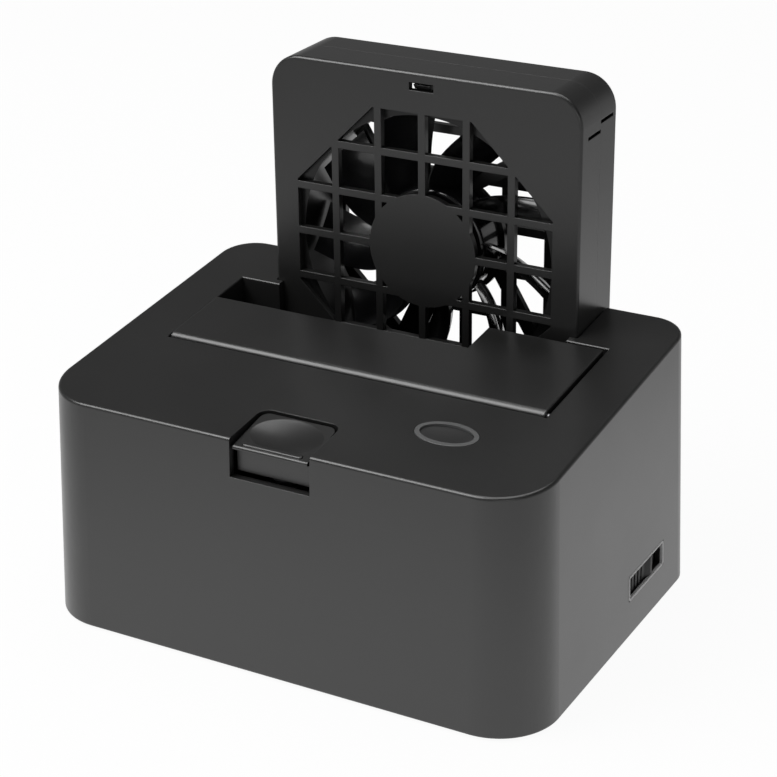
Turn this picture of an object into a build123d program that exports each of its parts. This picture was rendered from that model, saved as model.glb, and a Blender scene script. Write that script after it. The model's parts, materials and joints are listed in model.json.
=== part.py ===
"""Hard drive docking station with an upright cooling fan behind its drive slot.

Units are millimetres. +Z is up, -Y is the front, and the origin is the centre of
the footprint on the table. Each sub-part is its own block below, in the order in
which the object is assembled.
"""

import os
from math import atan, cos, degrees, radians, sin, tan

from build123d import *

os.makedirs("parts", exist_ok=True)

# Fits that several pieces share
fit_gap = 0.3           # between pieces that move past each other
seat_gap = 0.1          # round pieces that drop into a pocket
pin_gap = 0.05          # radial, round hinge pins and shafts
cut_over = 5.0          # how far a cut runs past the surface it opens
rib_wall = 2.0          # inner walls and ribs of the mouldings

# Driving sizes: the slot for the drives, the fan module behind it, the housing round both
mouth_width = 114.6
mouth_depth = 39.1
module_width = 94.14
module_depth = 22.9
side_shelf = 17.2       # of the top beside the slot
front_shelf = 43.54     # of the top in front of the slot
throat_length = 2.36    # between the slot and the fan module
module_proud = 0.7      # of the fan module behind the housing's rim
base_width = mouth_width + 2 * side_shelf
base_depth = front_shelf + mouth_depth + throat_length + module_depth - module_proud

# Housing
front_height = 65.7     # of the top's front edge above the housing's rim
back_height = 75.4      # of the top's back edge above the housing's rim
side_draft = 1.69       # degrees
front_draft = 2.42
back_draft = 1.63
front_corner_radius = 17.0
front_corner_draft = 1.07
back_corner_radius = 10.1
shell_wall = 2.2
top_edge_radius = 0.9
rim_edge_radius = 0.6
foot_stand = 0.8        # of the rim above the table

front_y = -(base_depth + module_proud) / 2
back_y = front_y + base_depth
rim_z = foot_stand


def lean(rise, angle):
    """Sideways run of a wall that rises by rise at a draft angle."""
    return rise * tan(radians(angle))


top_front_y = front_y + lean(front_height, front_draft)
top_back_y = back_y - lean(back_height, back_draft)
top_slope = (back_height - front_height) / (top_back_y - top_front_y)
top_tilt = degrees(atan(top_slope))
top_normal = Vector(0, -sin(radians(top_tilt)), cos(radians(top_tilt)))
loft_z = rim_z + back_height + cut_over


def top_z(y):
    """Height of the sloped top at a distance along Y."""
    return rim_z + front_height + (y - top_front_y) * top_slope


def on_top(x, y, lift):
    """Plane parallel to the sloped top, at the top's point (x, y), raised by lift."""
    return Plane(origin=Vector(x, y, top_z(y)) + top_normal * lift, x_dir=(1, 0, 0), z_dir=top_normal)


def facing_front(y, z):
    """Plane that faces the front, with its own X to the right and Y up."""
    return Plane(origin=(0, y, z), x_dir=(1, 0, 0), z_dir=(0, -1, 0))


def facing_back(y, z):
    """Plane that faces the back, with its own Y up."""
    return Plane(origin=(0, y, z), x_dir=(-1, 0, 0), z_dir=(0, 1, 0))


# Drive slot
mouth_front_y = front_y + front_shelf
mouth_edge_radius = 0.5
skirt_depth = 12.0      # of the moulded walls that hang round the mouth
throat_width = 90.0     # of the opening between the slot and the fan

mouth_back_y = mouth_front_y + mouth_depth
mouth_y = (mouth_front_y + mouth_back_y) / 2
skirt_z = top_z(mouth_front_y) - skirt_depth
skirt_width = mouth_width + 2 * rib_wall

# Fan module
module_top_z = 141.55
module_bottom_z = 44.5
module_corner_radius = 9.1
module_foot_radius = 2.0
module_edge_radius = 0.9
module_back_edge_radius = 1.2
module_wall = 2.2
module_face = 2.0
bezel_depth = 12.1

module_back_y = back_y + module_proud
module_front_y = module_back_y - module_depth
seam_y = module_front_y + bezel_depth
module_z = (module_top_z + module_bottom_z) / 2
module_height = module_top_z - module_bottom_z
bay_width = module_width + 2 * fit_gap
module_screw_side_inset = 5.07
module_screw_back_inset = 7.95
module_screw_x = module_width / 2 - module_screw_side_inset
module_screw_y = module_back_y - module_screw_back_inset
module_screw_places = [(-module_screw_x, module_screw_y), (module_screw_x, module_screw_y)]

# Eject button and its notch in the front edge
notch_width = 23.56
notch_depth = 19.5
notch_height = 10.6     # of the notch below the top's front edge
notch_corner_radius = 3.2

notch_back_y = front_y + notch_depth
notch_z = rim_z + front_height - notch_height

# Power button and light ring, on the sloped top
ring_side_inset = 36.6
ring_inset = 17.24      # of the ring's middle in front of the slot
ring_x = base_width / 2 - ring_side_inset
ring_y = mouth_front_y - ring_inset
ring_half_length = 8.75
ring_half_depth = 5.55
ring_width = 1.35
ring_flange = 1.2
ring_flange_thickness = 1.0
ring_height = 4.0       # below the housing's top
ring_proud = 0.15
cap_sink = 0.35         # of the button's cap below the housing's top
cap_height = 6.2
cap_flange = 0.9
cap_travel = 1.6
plunger_size = 3.2
plunger_height = 2.0    # of the switch's plunger above its case
switch_size = 7.0
switch_height = 5.0
button_board_drop = cap_sink + cap_height + plunger_height + switch_height
button_board_length = 31.0
button_board_depth = 13.0
button_board_thickness = 1.2
button_boss_x = 12.8
button_boss_radius = 2.4
button_screw_grip = 6.0

# Fan switch window in the right-hand side
window_length = 24.0
window_height = 7.6
window_chamfer = 0.6
window_inset = 33.2     # of the window's middle from the back
window_y = back_y - window_inset

# Boards, standing on the bottom cover
cover_recess = 0.5      # of the bottom cover inside the rim
cover_thickness = 2.2
board_thickness = 1.6
board_z = 10.0
board_left_inset = 12.5
board_right_inset = 4.5
board_front_inset = 40.0
board_back_inset = 3.2

cover_z = rim_z + cover_recess
cover_top_z = cover_z + cover_thickness
board_top_z = board_z + board_thickness
board_left_x = -base_width / 2 + board_left_inset
board_right_x = base_width / 2 - board_right_inset
board_front_y = front_y + board_front_inset
board_back_y = back_y - board_back_inset
window_z = board_top_z + window_height / 2

# Bosses and screws that close the housing
boss_radius = 3.8
boss_front_side_inset = 16.5
boss_back_side_inset = 14.0
boss_front_inset = 15.0
boss_back_inset = 11.2
boss_front_x = base_width / 2 - boss_front_side_inset
boss_back_x = base_width / 2 - boss_back_side_inset
boss_front_y = front_y + boss_front_inset
boss_back_y = back_y - boss_back_inset
screw_radius = 1.4
screw_head_radius = 2.7
screw_head_height = 1.8
screw_shank_radius = 1.3
screw_grip = 9.0        # depth of a boss's hole
ear_grip = 4.5          # the same, above the ears of the drive well
cover_sink = 1.0        # of the screw heads into the bottom cover
boss_places = [
    (-boss_front_x, boss_front_y),
    (boss_front_x, boss_front_y),
    (-boss_back_x, boss_back_y),
    (boss_back_x, boss_back_y),
]

# Ports in the back wall, seen from above
port_recess = 0.85
port_y = back_y - port_recess
usb_x = -14.0
usb_width = 12.0
usb_height = 10.9
usb_depth = 17.0
esata_x = 10.0
esata_width = 16.6
esata_height = 7.4
esata_depth = 13.5
jack_x = 34.0
jack_width = 9.0
jack_height = 11.0
jack_depth = 14.2
port_places = [(usb_x, usb_width, usb_height), (esata_x, esata_width, esata_height),
               (jack_x, jack_width, jack_height)]


def outline_at(z, inset):
    """Section of the drafted housing at a height, inset from its outside."""
    rise = z - rim_z
    half = base_width / 2 - inset - lean(rise, side_draft)
    low = front_y + inset + lean(rise, front_draft)
    high = back_y - inset - lean(rise, back_draft)
    with BuildSketch(Plane.XY.offset(z)) as outline:
        with Locations((0, (low + high) / 2)):
            Rectangle(2 * half, high - low)
        front_corners = outline.vertices().group_by(Axis.Y)[0]
        fillet(front_corners, radius=front_corner_radius - inset - lean(rise, front_corner_draft))
        back_corners = outline.vertices().group_by(Axis.Y)[-1]
        fillet(back_corners, radius=back_corner_radius - inset)
    return outline.sketch


def housing_form(low_z, inset, drop):
    """Solid inside the drafted walls, from low_z up to the sloped top less drop."""
    with BuildPart() as form:
        add(outline_at(low_z, inset))
        add(outline_at(loft_z, inset))
        loft()
        split(bisect_by=on_top(0, 0, -drop), keep=Keep.BOTTOM)
    return form.part


def module_outline(plane, inset):
    """Upright outline of the fan module with its two large upper corners."""
    with BuildSketch(plane) as outline:
        Rectangle(module_width - 2 * inset, module_height - 2 * inset)
        upper = outline.vertices().group_by(Axis.Y)[-1]
        fillet(upper, radius=module_corner_radius - inset)
        lower = outline.vertices().group_by(Axis.Y)[0]
        fillet(lower, radius=max(module_foot_radius - inset, module_foot_radius / 4))
    return outline.sketch


# Hinge of the slot flap
flap_proud = 0.8        # of the flap above the housing's top
flap_barrel_radius = 2.0
flap_thickness = 2.2
flap_side_gap = 0.6
flap_pin_radius = 0.9
flap_pin_seat = 1.5
hinge_y = mouth_front_y + fit_gap + flap_barrel_radius
hinge_z = on_top(0, hinge_y, flap_proud - flap_barrel_radius).origin.Z
hinge_plane = Plane(origin=(0, hinge_y, hinge_z), x_dir=(1, 0, 0), z_dir=top_normal)

# Eject mechanism
lever_z = 14.2          # of the pivot
lever_height = 4.0
lever_width = 8.0
lever_pivot_inset = 26.0
lever_front_inset = 8.0
lever_finger_inset = 20.46
lever_pivot_y = front_y + lever_pivot_inset
lever_front_y = front_y + lever_front_inset
lever_finger_y = mouth_front_y + lever_finger_inset
lever_finger_length = 6.0
lever_finger_top_z = 26.6
lever_pin_radius = 1.5
lever_hub_radius = 3.6
button_travel = 2.6
stem_size = 5.6
stem_inset = 11.8
stem_y = front_y + stem_inset
stem_hole_gap = 0.35

# Drive well below the mouth
well_floor_z = 21.6
well_floor_thickness = 2.0
well_top_z = skirt_z
shelf_thickness = 2.0
shelf_z = 44.0
shelf_width = 26.0
shelf_inset = 4.6
shelf_front_y = front_y + shelf_inset
connector_side_inset = 32.5     # of the connector's middle from the slot's left end
connector_back_inset = 5.3
connector_x = -mouth_width / 2 + connector_side_inset
connector_width = 42.7
connector_depth = 6.4
connector_y = mouth_back_y - connector_back_inset
connector_top_z = 27.4
connector_gap = 0.5
ear_radius = 4.6
ear_thickness = 2.4
ear_reach = 3.2
ear_front_inset = 4.0
ear_back_inset = 9.1
ear_x = skirt_width / 2 + ear_reach
ear_front_y = mouth_front_y + ear_front_inset
ear_back_y = mouth_back_y - ear_back_inset
ear_z = skirt_z - ear_thickness
ear_places = [(-ear_x, ear_front_y), (ear_x, ear_front_y), (-ear_x, ear_back_y), (ear_x, ear_back_y)]

# Top housing: drafted shell, sloped top, slot mouth, fan bay, bosses
with BuildPart() as hollow:
    add(housing_form(rim_z - cut_over, shell_wall, shell_wall))
    with BuildSketch(Plane.XY.offset(skirt_z)):
        with Locations((0, (mouth_front_y - rib_wall + module_front_y) / 2)):
            Rectangle(skirt_width, module_front_y - mouth_front_y + rib_wall)
    extrude(amount=loft_z - skirt_z, mode=Mode.SUBTRACT)
    with BuildSketch(Plane.XY.offset(module_bottom_z - rib_wall)):
        with Locations((0, (module_front_y + loft_z) / 2)):
            Rectangle(bay_width + 2 * rib_wall, loft_z - module_front_y)
    extrude(amount=loft_z, mode=Mode.SUBTRACT)
    with BuildSketch(Plane.XY.offset(cover_top_z)):
        with Locations(*boss_places):
            Circle(boss_radius)
    extrude(amount=loft_z, mode=Mode.SUBTRACT)
    with BuildSketch(Plane.XY.offset(ear_z + ear_thickness)):
        with Locations(*ear_places):
            Circle(ear_radius)
    extrude(amount=loft_z, mode=Mode.SUBTRACT)

    with BuildSketch(on_top(ring_x, ring_y, -button_board_drop)):
        with Locations((-button_boss_x, 0), (button_boss_x, 0)):
            Circle(button_boss_radius)
    extrude(amount=button_board_drop, mode=Mode.SUBTRACT)

with BuildPart() as top_housing:
    add(housing_form(rim_z, 0, 0))
    fillet(top_housing.faces().sort_by(Axis.Z)[-1].edges(), radius=top_edge_radius)
    fillet(top_housing.faces().sort_by(Axis.Z)[0].edges(), radius=rim_edge_radius)
    add(hollow.part, mode=Mode.SUBTRACT)
    # Slot mouth
    with BuildSketch(Plane.XY.offset(skirt_z)):
        with Locations((0, mouth_y)):
            Rectangle(mouth_width, mouth_depth)
    extrude(amount=loft_z, mode=Mode.SUBTRACT)
    mouth_edges = top_housing.edges().filter_by(
        lambda edge: edge.center().Z > top_z(edge.center().Y) - rim_edge_radius
        and abs(edge.center().X) < mouth_width / 2 + seat_gap
        and mouth_front_y - seat_gap < edge.center().Y < mouth_back_y + seat_gap)
    fillet(mouth_edges, radius=mouth_edge_radius)
    # Throat between the slot and the fan
    with BuildSketch(Plane.XY.offset(skirt_z)):
        with Locations((0, (mouth_y + module_front_y) / 2)):
            Rectangle(throat_width, module_front_y - mouth_y)
    extrude(amount=loft_z, mode=Mode.SUBTRACT)
    # Bay that the fan module stands in, open at the top and the back
    with BuildSketch(Plane.XY.offset(module_bottom_z)):
        with Locations((0, (module_front_y - seat_gap + loft_z) / 2)):
            Rectangle(bay_width, loft_z - module_front_y + seat_gap)
    extrude(amount=loft_z, mode=Mode.SUBTRACT)
    # Notch of the eject button
    with BuildSketch(Plane.XY.offset(notch_z)) as notch:
        with Locations((0, (front_y - cut_over + notch_back_y) / 2)):
            Rectangle(notch_width, notch_back_y - front_y + cut_over)
        fillet(notch.vertices().group_by(Axis.Y)[-1], radius=notch_corner_radius)
    extrude(amount=loft_z, mode=Mode.SUBTRACT)
    # Holes for the screws of the fan module, in the floor of its bay
    with BuildSketch(Plane.XY.offset(module_bottom_z - rib_wall - cut_over)):
        with Locations(*module_screw_places):
            Circle(screw_radius + fit_gap)
    extrude(amount=rib_wall + 2 * cut_over, mode=Mode.SUBTRACT)
    # Seat of the light ring
    with BuildSketch(on_top(ring_x, ring_y, cut_over)):
        Ellipse(ring_half_length + seat_gap, ring_half_depth + seat_gap)
    extrude(amount=-(shell_wall + 2 * cut_over), mode=Mode.SUBTRACT)
    # Window of the fan switch
    with BuildSketch(Plane.YZ.offset(base_width / 2 + cut_over)):
        with Locations((window_y, window_z)):
            Rectangle(window_length - 2 * window_chamfer, window_height - 2 * window_chamfer)
    extrude(amount=-(shell_wall + lean(window_z, side_draft) + 2 * cut_over), mode=Mode.SUBTRACT)
    window_edges = top_housing.edges().filter_by(
        lambda edge: edge.center().X > base_width / 2 - shell_wall / 2
        and abs(edge.center().Y - window_y) < window_length / 2
        and abs(edge.center().Z - window_z) < window_height / 2)
    chamfer(window_edges, length=window_chamfer)
    # Cut-outs of the ports
    for port_x, port_width, port_height in port_places:
        with BuildSketch(facing_back(back_y + cut_over, board_top_z + port_height / 2)):
            with Locations((-port_x, 0)):
                Rectangle(port_width + 2 * fit_gap, port_height + 2 * fit_gap)
        extrude(amount=-(shell_wall + 2 * cut_over), mode=Mode.SUBTRACT)
    # Blind holes of the screws and of the hinge pin
    with BuildSketch(Plane.XY.offset(cover_top_z)):
        with Locations(*boss_places):
            Circle(screw_radius - pin_gap)
    extrude(amount=screw_grip, mode=Mode.SUBTRACT)
    with BuildSketch(Plane.XY.offset(ear_z + ear_thickness)):
        with Locations(*ear_places):
            Circle(screw_radius - pin_gap)
    extrude(amount=ear_grip, mode=Mode.SUBTRACT)
    with BuildSketch(on_top(ring_x, ring_y, -button_board_drop)):
        with Locations((-button_boss_x, 0), (button_boss_x, 0)):
            Circle(screw_radius - pin_gap)
    extrude(amount=button_screw_grip, mode=Mode.SUBTRACT)
    with BuildSketch(Plane.YZ.offset(-mouth_width / 2 - flap_pin_seat)):
        with Locations((hinge_y, hinge_z)):
            Circle(flap_pin_radius + pin_gap)
    extrude(amount=mouth_width + 2 * flap_pin_seat, mode=Mode.SUBTRACT)
top_housing.part.label = "top_housing"
export_step(top_housing.part, "parts/top_housing.step")

# Bottom cover: plate inside the rim, vents, board posts, pivot ears, feet seats
cover_gap = 0.4
foot_radius = 5.5
foot_sink = 0.8
foot_front_side_inset = 28.5
foot_back_side_inset = 26.5
foot_front_inset = 13.0
foot_back_inset = 12.2
foot_front_x = base_width / 2 - foot_front_side_inset
foot_back_x = base_width / 2 - foot_back_side_inset
foot_front_y = front_y + foot_front_inset
foot_back_y = back_y - foot_back_inset
vent_length = 26.0
vent_width = 2.2
vent_pitch = 5.2
vent_count = 6
vent_inset = 58.0
vent_y = front_y + vent_inset
post_radius = 3.0
post_left_inset = 12.0
post_right_inset = 16.0
post_front_inset = 6.0
post_back_inset = 20.0
post_left_x = board_left_x + post_left_inset
post_right_x = board_right_x - post_right_inset
post_front_y = board_front_y + post_front_inset
post_back_y = board_back_y - post_back_inset
pivot_ear_thickness = 2.2
pivot_ear_length = 8.0
foot_places = [
    (-foot_front_x, foot_front_y),
    (foot_front_x, foot_front_y),
    (-foot_back_x, foot_back_y),
    (foot_back_x, foot_back_y),
]
post_places = [
    (post_left_x, post_front_y),
    (post_right_x, post_front_y),
    (post_left_x, post_back_y),
    (post_right_x, post_back_y),
]
ear_inner_x = lever_width / 2 + 2 * fit_gap
ear_outer_x = ear_inner_x + pivot_ear_thickness

with BuildPart() as bottom_cover:
    add(outline_at(cover_top_z, shell_wall + cover_gap))
    extrude(amount=-cover_thickness)
    with BuildSketch(Plane.XY.offset(cover_top_z)):
        with Locations(*post_places):
            Circle(post_radius)
    extrude(amount=board_z - cover_top_z)
    with BuildSketch(Plane.XY.offset(cover_z)):
        with Locations(*foot_places):
            Circle(foot_radius + seat_gap)
    extrude(amount=foot_sink, mode=Mode.SUBTRACT)
    with BuildSketch(Plane.XY.offset(cover_z)):
        with Locations((0, vent_y)):
            with GridLocations(vent_length + vent_pitch, vent_pitch, 2, vent_count):
                SlotOverall(vent_length, vent_width)
    extrude(amount=cover_thickness, mode=Mode.SUBTRACT)
    with Locations(Plane.XY.offset(cover_z)):
        with Locations(*[Location((x, y, 0), (180, 0, 0)) for x, y in boss_places]):
            CounterBoreHole(screw_radius + seat_gap, screw_head_radius + fit_gap,
                            cover_sink, depth=cover_thickness)
    with BuildSketch(Plane.XY.offset(board_z)):
        with Locations(*post_places):
            Circle(screw_radius - pin_gap)
    extrude(amount=-(board_z - cover_top_z), mode=Mode.SUBTRACT)
    # Ears of the eject lever's pivot
    ear_shape_z = lever_z + lever_pin_radius + rib_wall
    with BuildSketch(Plane.YZ) as ear_shape:
        with Locations((lever_pivot_y, (cover_top_z + ear_shape_z) / 2)):
            Rectangle(pivot_ear_length, ear_shape_z - cover_top_z)
        fillet(ear_shape.vertices().group_by(Axis.Y)[-1], radius=pivot_ear_length / 3)
    extrude(amount=ear_outer_x, both=True)
    with BuildSketch(Plane.YZ):
        with Locations((lever_pivot_y, (cover_top_z + ear_shape_z + cut_over) / 2)):
            Rectangle(pivot_ear_length, ear_shape_z + cut_over - cover_top_z)
    extrude(amount=ear_inner_x, both=True, mode=Mode.SUBTRACT)
    with BuildSketch(Plane.YZ):
        with Locations((lever_pivot_y, lever_z)):
            Circle(lever_pin_radius + pin_gap / 5)
    extrude(amount=ear_outer_x + cut_over, both=True, mode=Mode.SUBTRACT)
bottom_cover.part.label = "bottom_cover"
export_step(bottom_cover.part, "parts/bottom_cover.step")

# Rubber feet: stepped discs pushed into the cover
with BuildPart() as rubber_feet:
    with BuildSketch():
        with Locations(*foot_places):
            Circle(foot_radius)
    extrude(amount=cover_z + foot_sink)
    chamfer(rubber_feet.faces().group_by(Axis.Z)[0].edges(), length=foot_stand / 2)
rubber_feet.part.label = "rubber_feet"
export_step(rubber_feet.part, "parts/rubber_feet.step")


recess_share = 1.2      # of a screw's cross recess against its head's radius
crown_share = 0.4       # of a screw's rounding against its head's height


def pan_screws(plane, places, head_radius, head_height, shank_radius, grip):
    """Pan-head screws at several places of a plane, heads on its outer side."""
    recess = recess_share * head_radius
    with BuildPart() as screws:
        with BuildSketch(plane):
            with Locations(*places):
                Circle(head_radius)
        extrude(amount=head_height)
        outwards = Axis(plane.origin, plane.z_dir)
        crowns = screws.faces().sort_by(outwards)[-len(places):]
        fillet(crowns.edges(), radius=crown_share * head_height)
        with BuildSketch(plane):
            with Locations(*places):
                Circle(shank_radius)
        extrude(amount=-grip)
        with BuildSketch(plane.offset(head_height)):
            with Locations(*places):
                Rectangle(recess, shank_radius / 2)
                Rectangle(shank_radius / 2, recess)
        extrude(amount=-head_height / 2, mode=Mode.SUBTRACT)
    return screws.part


def facing_down(z):
    """Plane that faces the table, with its own Y towards the front."""
    return Plane(origin=(0, 0, z), x_dir=(1, 0, 0), z_dir=(0, 0, -1))


def flipped(places):
    """The same places, as a plane that faces down counts them."""
    return [(x, -y) for x, y in places]


# Housing screws, from below through the cover into the bosses
housing_screws = pan_screws(facing_down(cover_z + cover_sink), flipped(boss_places), screw_head_radius,
                            screw_head_height, screw_shank_radius, cover_thickness + screw_grip / 2)
housing_screws.label = "housing_screws"
export_step(housing_screws, "parts/housing_screws.step")

# Drive well: walls and floor below the mouth, throat, lever slot, spring shelf
finger_slot_play = 1.2
finger_slot_lead = 6.0
finger_slot_width = lever_width + finger_slot_play
finger_slot_front_y = lever_finger_y - lever_finger_length - finger_slot_lead
finger_slot_back_y = lever_finger_y + lever_height
gusset_depth = 14.0
with BuildPart() as drive_well:
    with BuildSketch(Plane.XY.offset(well_floor_z)):
        with Locations((0, mouth_y)):
            Rectangle(skirt_width, mouth_depth + 2 * rib_wall)
    extrude(amount=well_top_z - well_floor_z)
    with BuildSketch(Plane.XY.offset(well_floor_z + well_floor_thickness)):
        with Locations((0, mouth_y)):
            Rectangle(mouth_width, mouth_depth)
    extrude(amount=well_top_z, mode=Mode.SUBTRACT)
    # Throat through the back wall, in front of the fan
    with BuildSketch(Plane.XY.offset(module_bottom_z + rib_wall)):
        with Locations((0, mouth_back_y)):
            Rectangle(throat_width, 2 * cut_over)
    extrude(amount=well_top_z, mode=Mode.SUBTRACT)
    # Shelf that guides the stem of the eject button, with two gussets
    with BuildSketch(Plane.XY.offset(shelf_z)):
        with Locations((0, (shelf_front_y + mouth_front_y - rib_wall) / 2)):
            Rectangle(shelf_width, mouth_front_y - rib_wall - shelf_front_y)
    extrude(amount=shelf_thickness)
    for gusset_x in (-shelf_width / 2 + rib_wall / 2, shelf_width / 2 - rib_wall / 2):
        with BuildSketch(Plane.YZ.offset(gusset_x)):
            with BuildLine():
                Polyline((mouth_front_y - rib_wall, shelf_z), (shelf_front_y, shelf_z),
                         (mouth_front_y - rib_wall, shelf_z - gusset_depth), close=True)
            make_face()
        extrude(amount=rib_wall / 2, both=True)
    with BuildSketch(Plane.XY.offset(shelf_z)):
        with Locations((0, stem_y)):
            Rectangle(stem_size + 2 * stem_hole_gap, stem_size + 2 * stem_hole_gap)
    extrude(amount=shelf_thickness, mode=Mode.SUBTRACT)
    # Openings of the floor for the drive connector and the lever's finger
    with BuildSketch(Plane.XY.offset(well_floor_z)):
        with Locations((connector_x, connector_y)):
            Rectangle(connector_width + 2 * connector_gap, connector_depth + 2 * connector_gap)
        with Locations((0, (finger_slot_front_y + finger_slot_back_y) / 2)):
            Rectangle(finger_slot_width, finger_slot_back_y - finger_slot_front_y)
    extrude(amount=well_floor_thickness, mode=Mode.SUBTRACT)
    # Ears that are screwed up to the housing
    for ear_spot_x, ear_spot_y in ear_places:
        inner_x = skirt_width / 2 if ear_spot_x > 0 else -skirt_width / 2
        with BuildSketch(Plane.XY.offset(ear_z)):
            with Locations((ear_spot_x, ear_spot_y)):
                Circle(ear_radius)
            with Locations(((ear_spot_x + inner_x) / 2, ear_spot_y)):
                Rectangle(abs(ear_spot_x - inner_x), 2 * ear_radius)
        extrude(amount=ear_thickness)
    with BuildSketch(Plane.XY.offset(ear_z)):
        with Locations(*ear_places):
            Circle(screw_radius + seat_gap)
    extrude(amount=ear_thickness, mode=Mode.SUBTRACT)
drive_well.part.label = "drive_well"
export_step(drive_well.part, "parts/drive_well.step")

# Well screws, up through the ears
well_screws = pan_screws(facing_down(ear_z), flipped(ear_places), screw_head_radius,
                         screw_head_height, screw_shank_radius, ear_thickness + ear_grip - fit_gap)
well_screws.label = "well_screws"
export_step(well_screws, "parts/well_screws.step")

# Main board on the cover's posts, with its rear corners cut round the bosses
board_notch = 13.5
board_hole_radius = 1.7
with BuildPart() as main_board:
    with BuildSketch(Plane.XY.offset(board_z)):
        with Locations(((board_left_x + board_right_x) / 2, (board_front_y + board_back_y) / 2)):
            Rectangle(board_right_x - board_left_x, board_back_y - board_front_y)
        for notch_x in (board_left_x, board_right_x):
            with Locations((notch_x, board_back_y)):
                Rectangle(2 * board_notch, 2 * board_notch, mode=Mode.SUBTRACT)
        with Locations(*post_places):
            Circle(board_hole_radius, mode=Mode.SUBTRACT)
    extrude(amount=board_thickness)
main_board.part.label = "main_board"
export_step(main_board.part, "parts/main_board.step")

# Board screws, down into the posts
board_screws = pan_screws(Plane.XY.offset(board_top_z), post_places, screw_head_radius,
                          screw_head_height, screw_shank_radius, board_thickness + post_radius)
board_screws.label = "board_screws"
export_step(board_screws, "parts/board_screws.step")

# Drive connector: upright receptacle with two L-keyed slots and end guides
signal_width = 10.4
power_width = 20.6
slot_depth = 2.4
slot_reach = 6.5
slot_key = 1.2
guide_width = 3.2
guide_rise = 2.4
key_wall = 1.6
connector_foot_height = 5.0
connector_shoulder_z = board_top_z + connector_foot_height
slots_width = signal_width + power_width + key_wall
signal_x = connector_x - slots_width / 2 + signal_width / 2
power_x = connector_x + slots_width / 2 - power_width / 2
with BuildPart() as drive_connector:
    with BuildSketch(Plane.XY.offset(board_top_z)):
        with Locations((connector_x, connector_y)):
            RectangleRounded(connector_width, connector_depth, slot_key)
    extrude(amount=connector_top_z - board_top_z)
    with BuildSketch(Plane.XY.offset(connector_top_z)):
        for guide_side in (-1, 1):
            with Locations((connector_x + guide_side * (connector_width - guide_width) / 2, connector_y)):
                Rectangle(guide_width, connector_depth - 2 * slot_key)
    extrude(amount=guide_rise, taper=8)
    with BuildSketch(Plane.XY.offset(connector_top_z)):
        with Locations((signal_x, connector_y)):
            Rectangle(signal_width, slot_depth)
        with Locations((power_x, connector_y)):
            Rectangle(power_width, slot_depth)
        with Locations((signal_x + (signal_width - slot_key) / 2, connector_y + slot_depth / 2)):
            Rectangle(slot_key, 2 * slot_key)
        with Locations((power_x - (power_width - slot_key) / 2, connector_y + slot_depth / 2)):
            Rectangle(slot_key, 2 * slot_key)
    extrude(amount=-slot_reach, mode=Mode.SUBTRACT)
drive_connector.part.label = "drive_connector"
export_step(drive_connector.part, "parts/drive_connector.step")

# Contact blades along the front wall of the two slots
contact_pitch = 1.27
contact_width = 0.7
contact_thickness = 0.3
signal_contacts = 7
power_contacts = 15
contact_height = slot_reach - slot_key
with BuildPart() as drive_contacts:
    with BuildSketch(Plane.XY.offset(connector_top_z - slot_reach)):
        with Locations((signal_x, connector_y - (slot_depth - contact_thickness) / 2)):
            with GridLocations(contact_pitch, contact_pitch, signal_contacts, 1):
                Rectangle(contact_width, contact_thickness)
        with Locations((power_x, connector_y - (slot_depth - contact_thickness) / 2)):
            with GridLocations(contact_pitch, contact_pitch, power_contacts, 1):
                Rectangle(contact_width, contact_thickness)
    extrude(amount=contact_height)
drive_contacts.part.label = "drive_contacts"
export_step(drive_contacts.part, "parts/drive_contacts.step")

# Chips and other parts soldered to the main board
bridge_size = 14.0
bridge_height = 1.4
bridge_x = -30.0
flash_width = 5.0
flash_depth = 6.0
flash_height = 1.6
flash_x = -8.0
chip_inset = 22.0
chip_y = board_front_y + chip_inset
with BuildPart() as board_chips:
    with BuildSketch(Plane.XY.offset(board_top_z)):
        with Locations((bridge_x, chip_y)):
            Rectangle(bridge_size, bridge_size)
    extrude(amount=bridge_height)
    with BuildSketch(Plane.XY.offset(board_top_z)):
        with Locations((flash_x, chip_y)):
            Rectangle(flash_width, flash_depth)
    extrude(amount=flash_height)
board_chips.part.label = "board_chips"
export_step(board_chips.part, "parts/board_chips.step")

crystal_length = 11.0
crystal_width = 4.6
crystal_height = 3.4
crystal_x = bridge_x - bridge_size
with BuildPart() as crystal:
    with BuildSketch(Plane.XY.offset(board_top_z)):
        with Locations((crystal_x, chip_y)):
            SlotOverall(crystal_length, crystal_width, rotation=90)
    extrude(amount=crystal_height)
crystal.part.label = "crystal"
export_step(crystal.part, "parts/crystal.step")

capacitor_radius = 3.15
capacitor_height = 7.5
capacitor_x = 28.0
capacitor_pitch = 9.0
capacitor_count = 3
with BuildPart() as capacitors:
    with BuildSketch(Plane.XY.offset(board_top_z)):
        with Locations((capacitor_x, chip_y)):
            with GridLocations(capacitor_pitch, capacitor_pitch, capacitor_count, 1):
                Circle(capacitor_radius)
    extrude(amount=capacitor_height)
    chamfer(capacitors.faces().group_by(Axis.Z)[-1].edges(), length=capacitor_radius / 6)
capacitors.part.label = "capacitors"
export_step(capacitors.part, "parts/capacitors.step")

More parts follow.
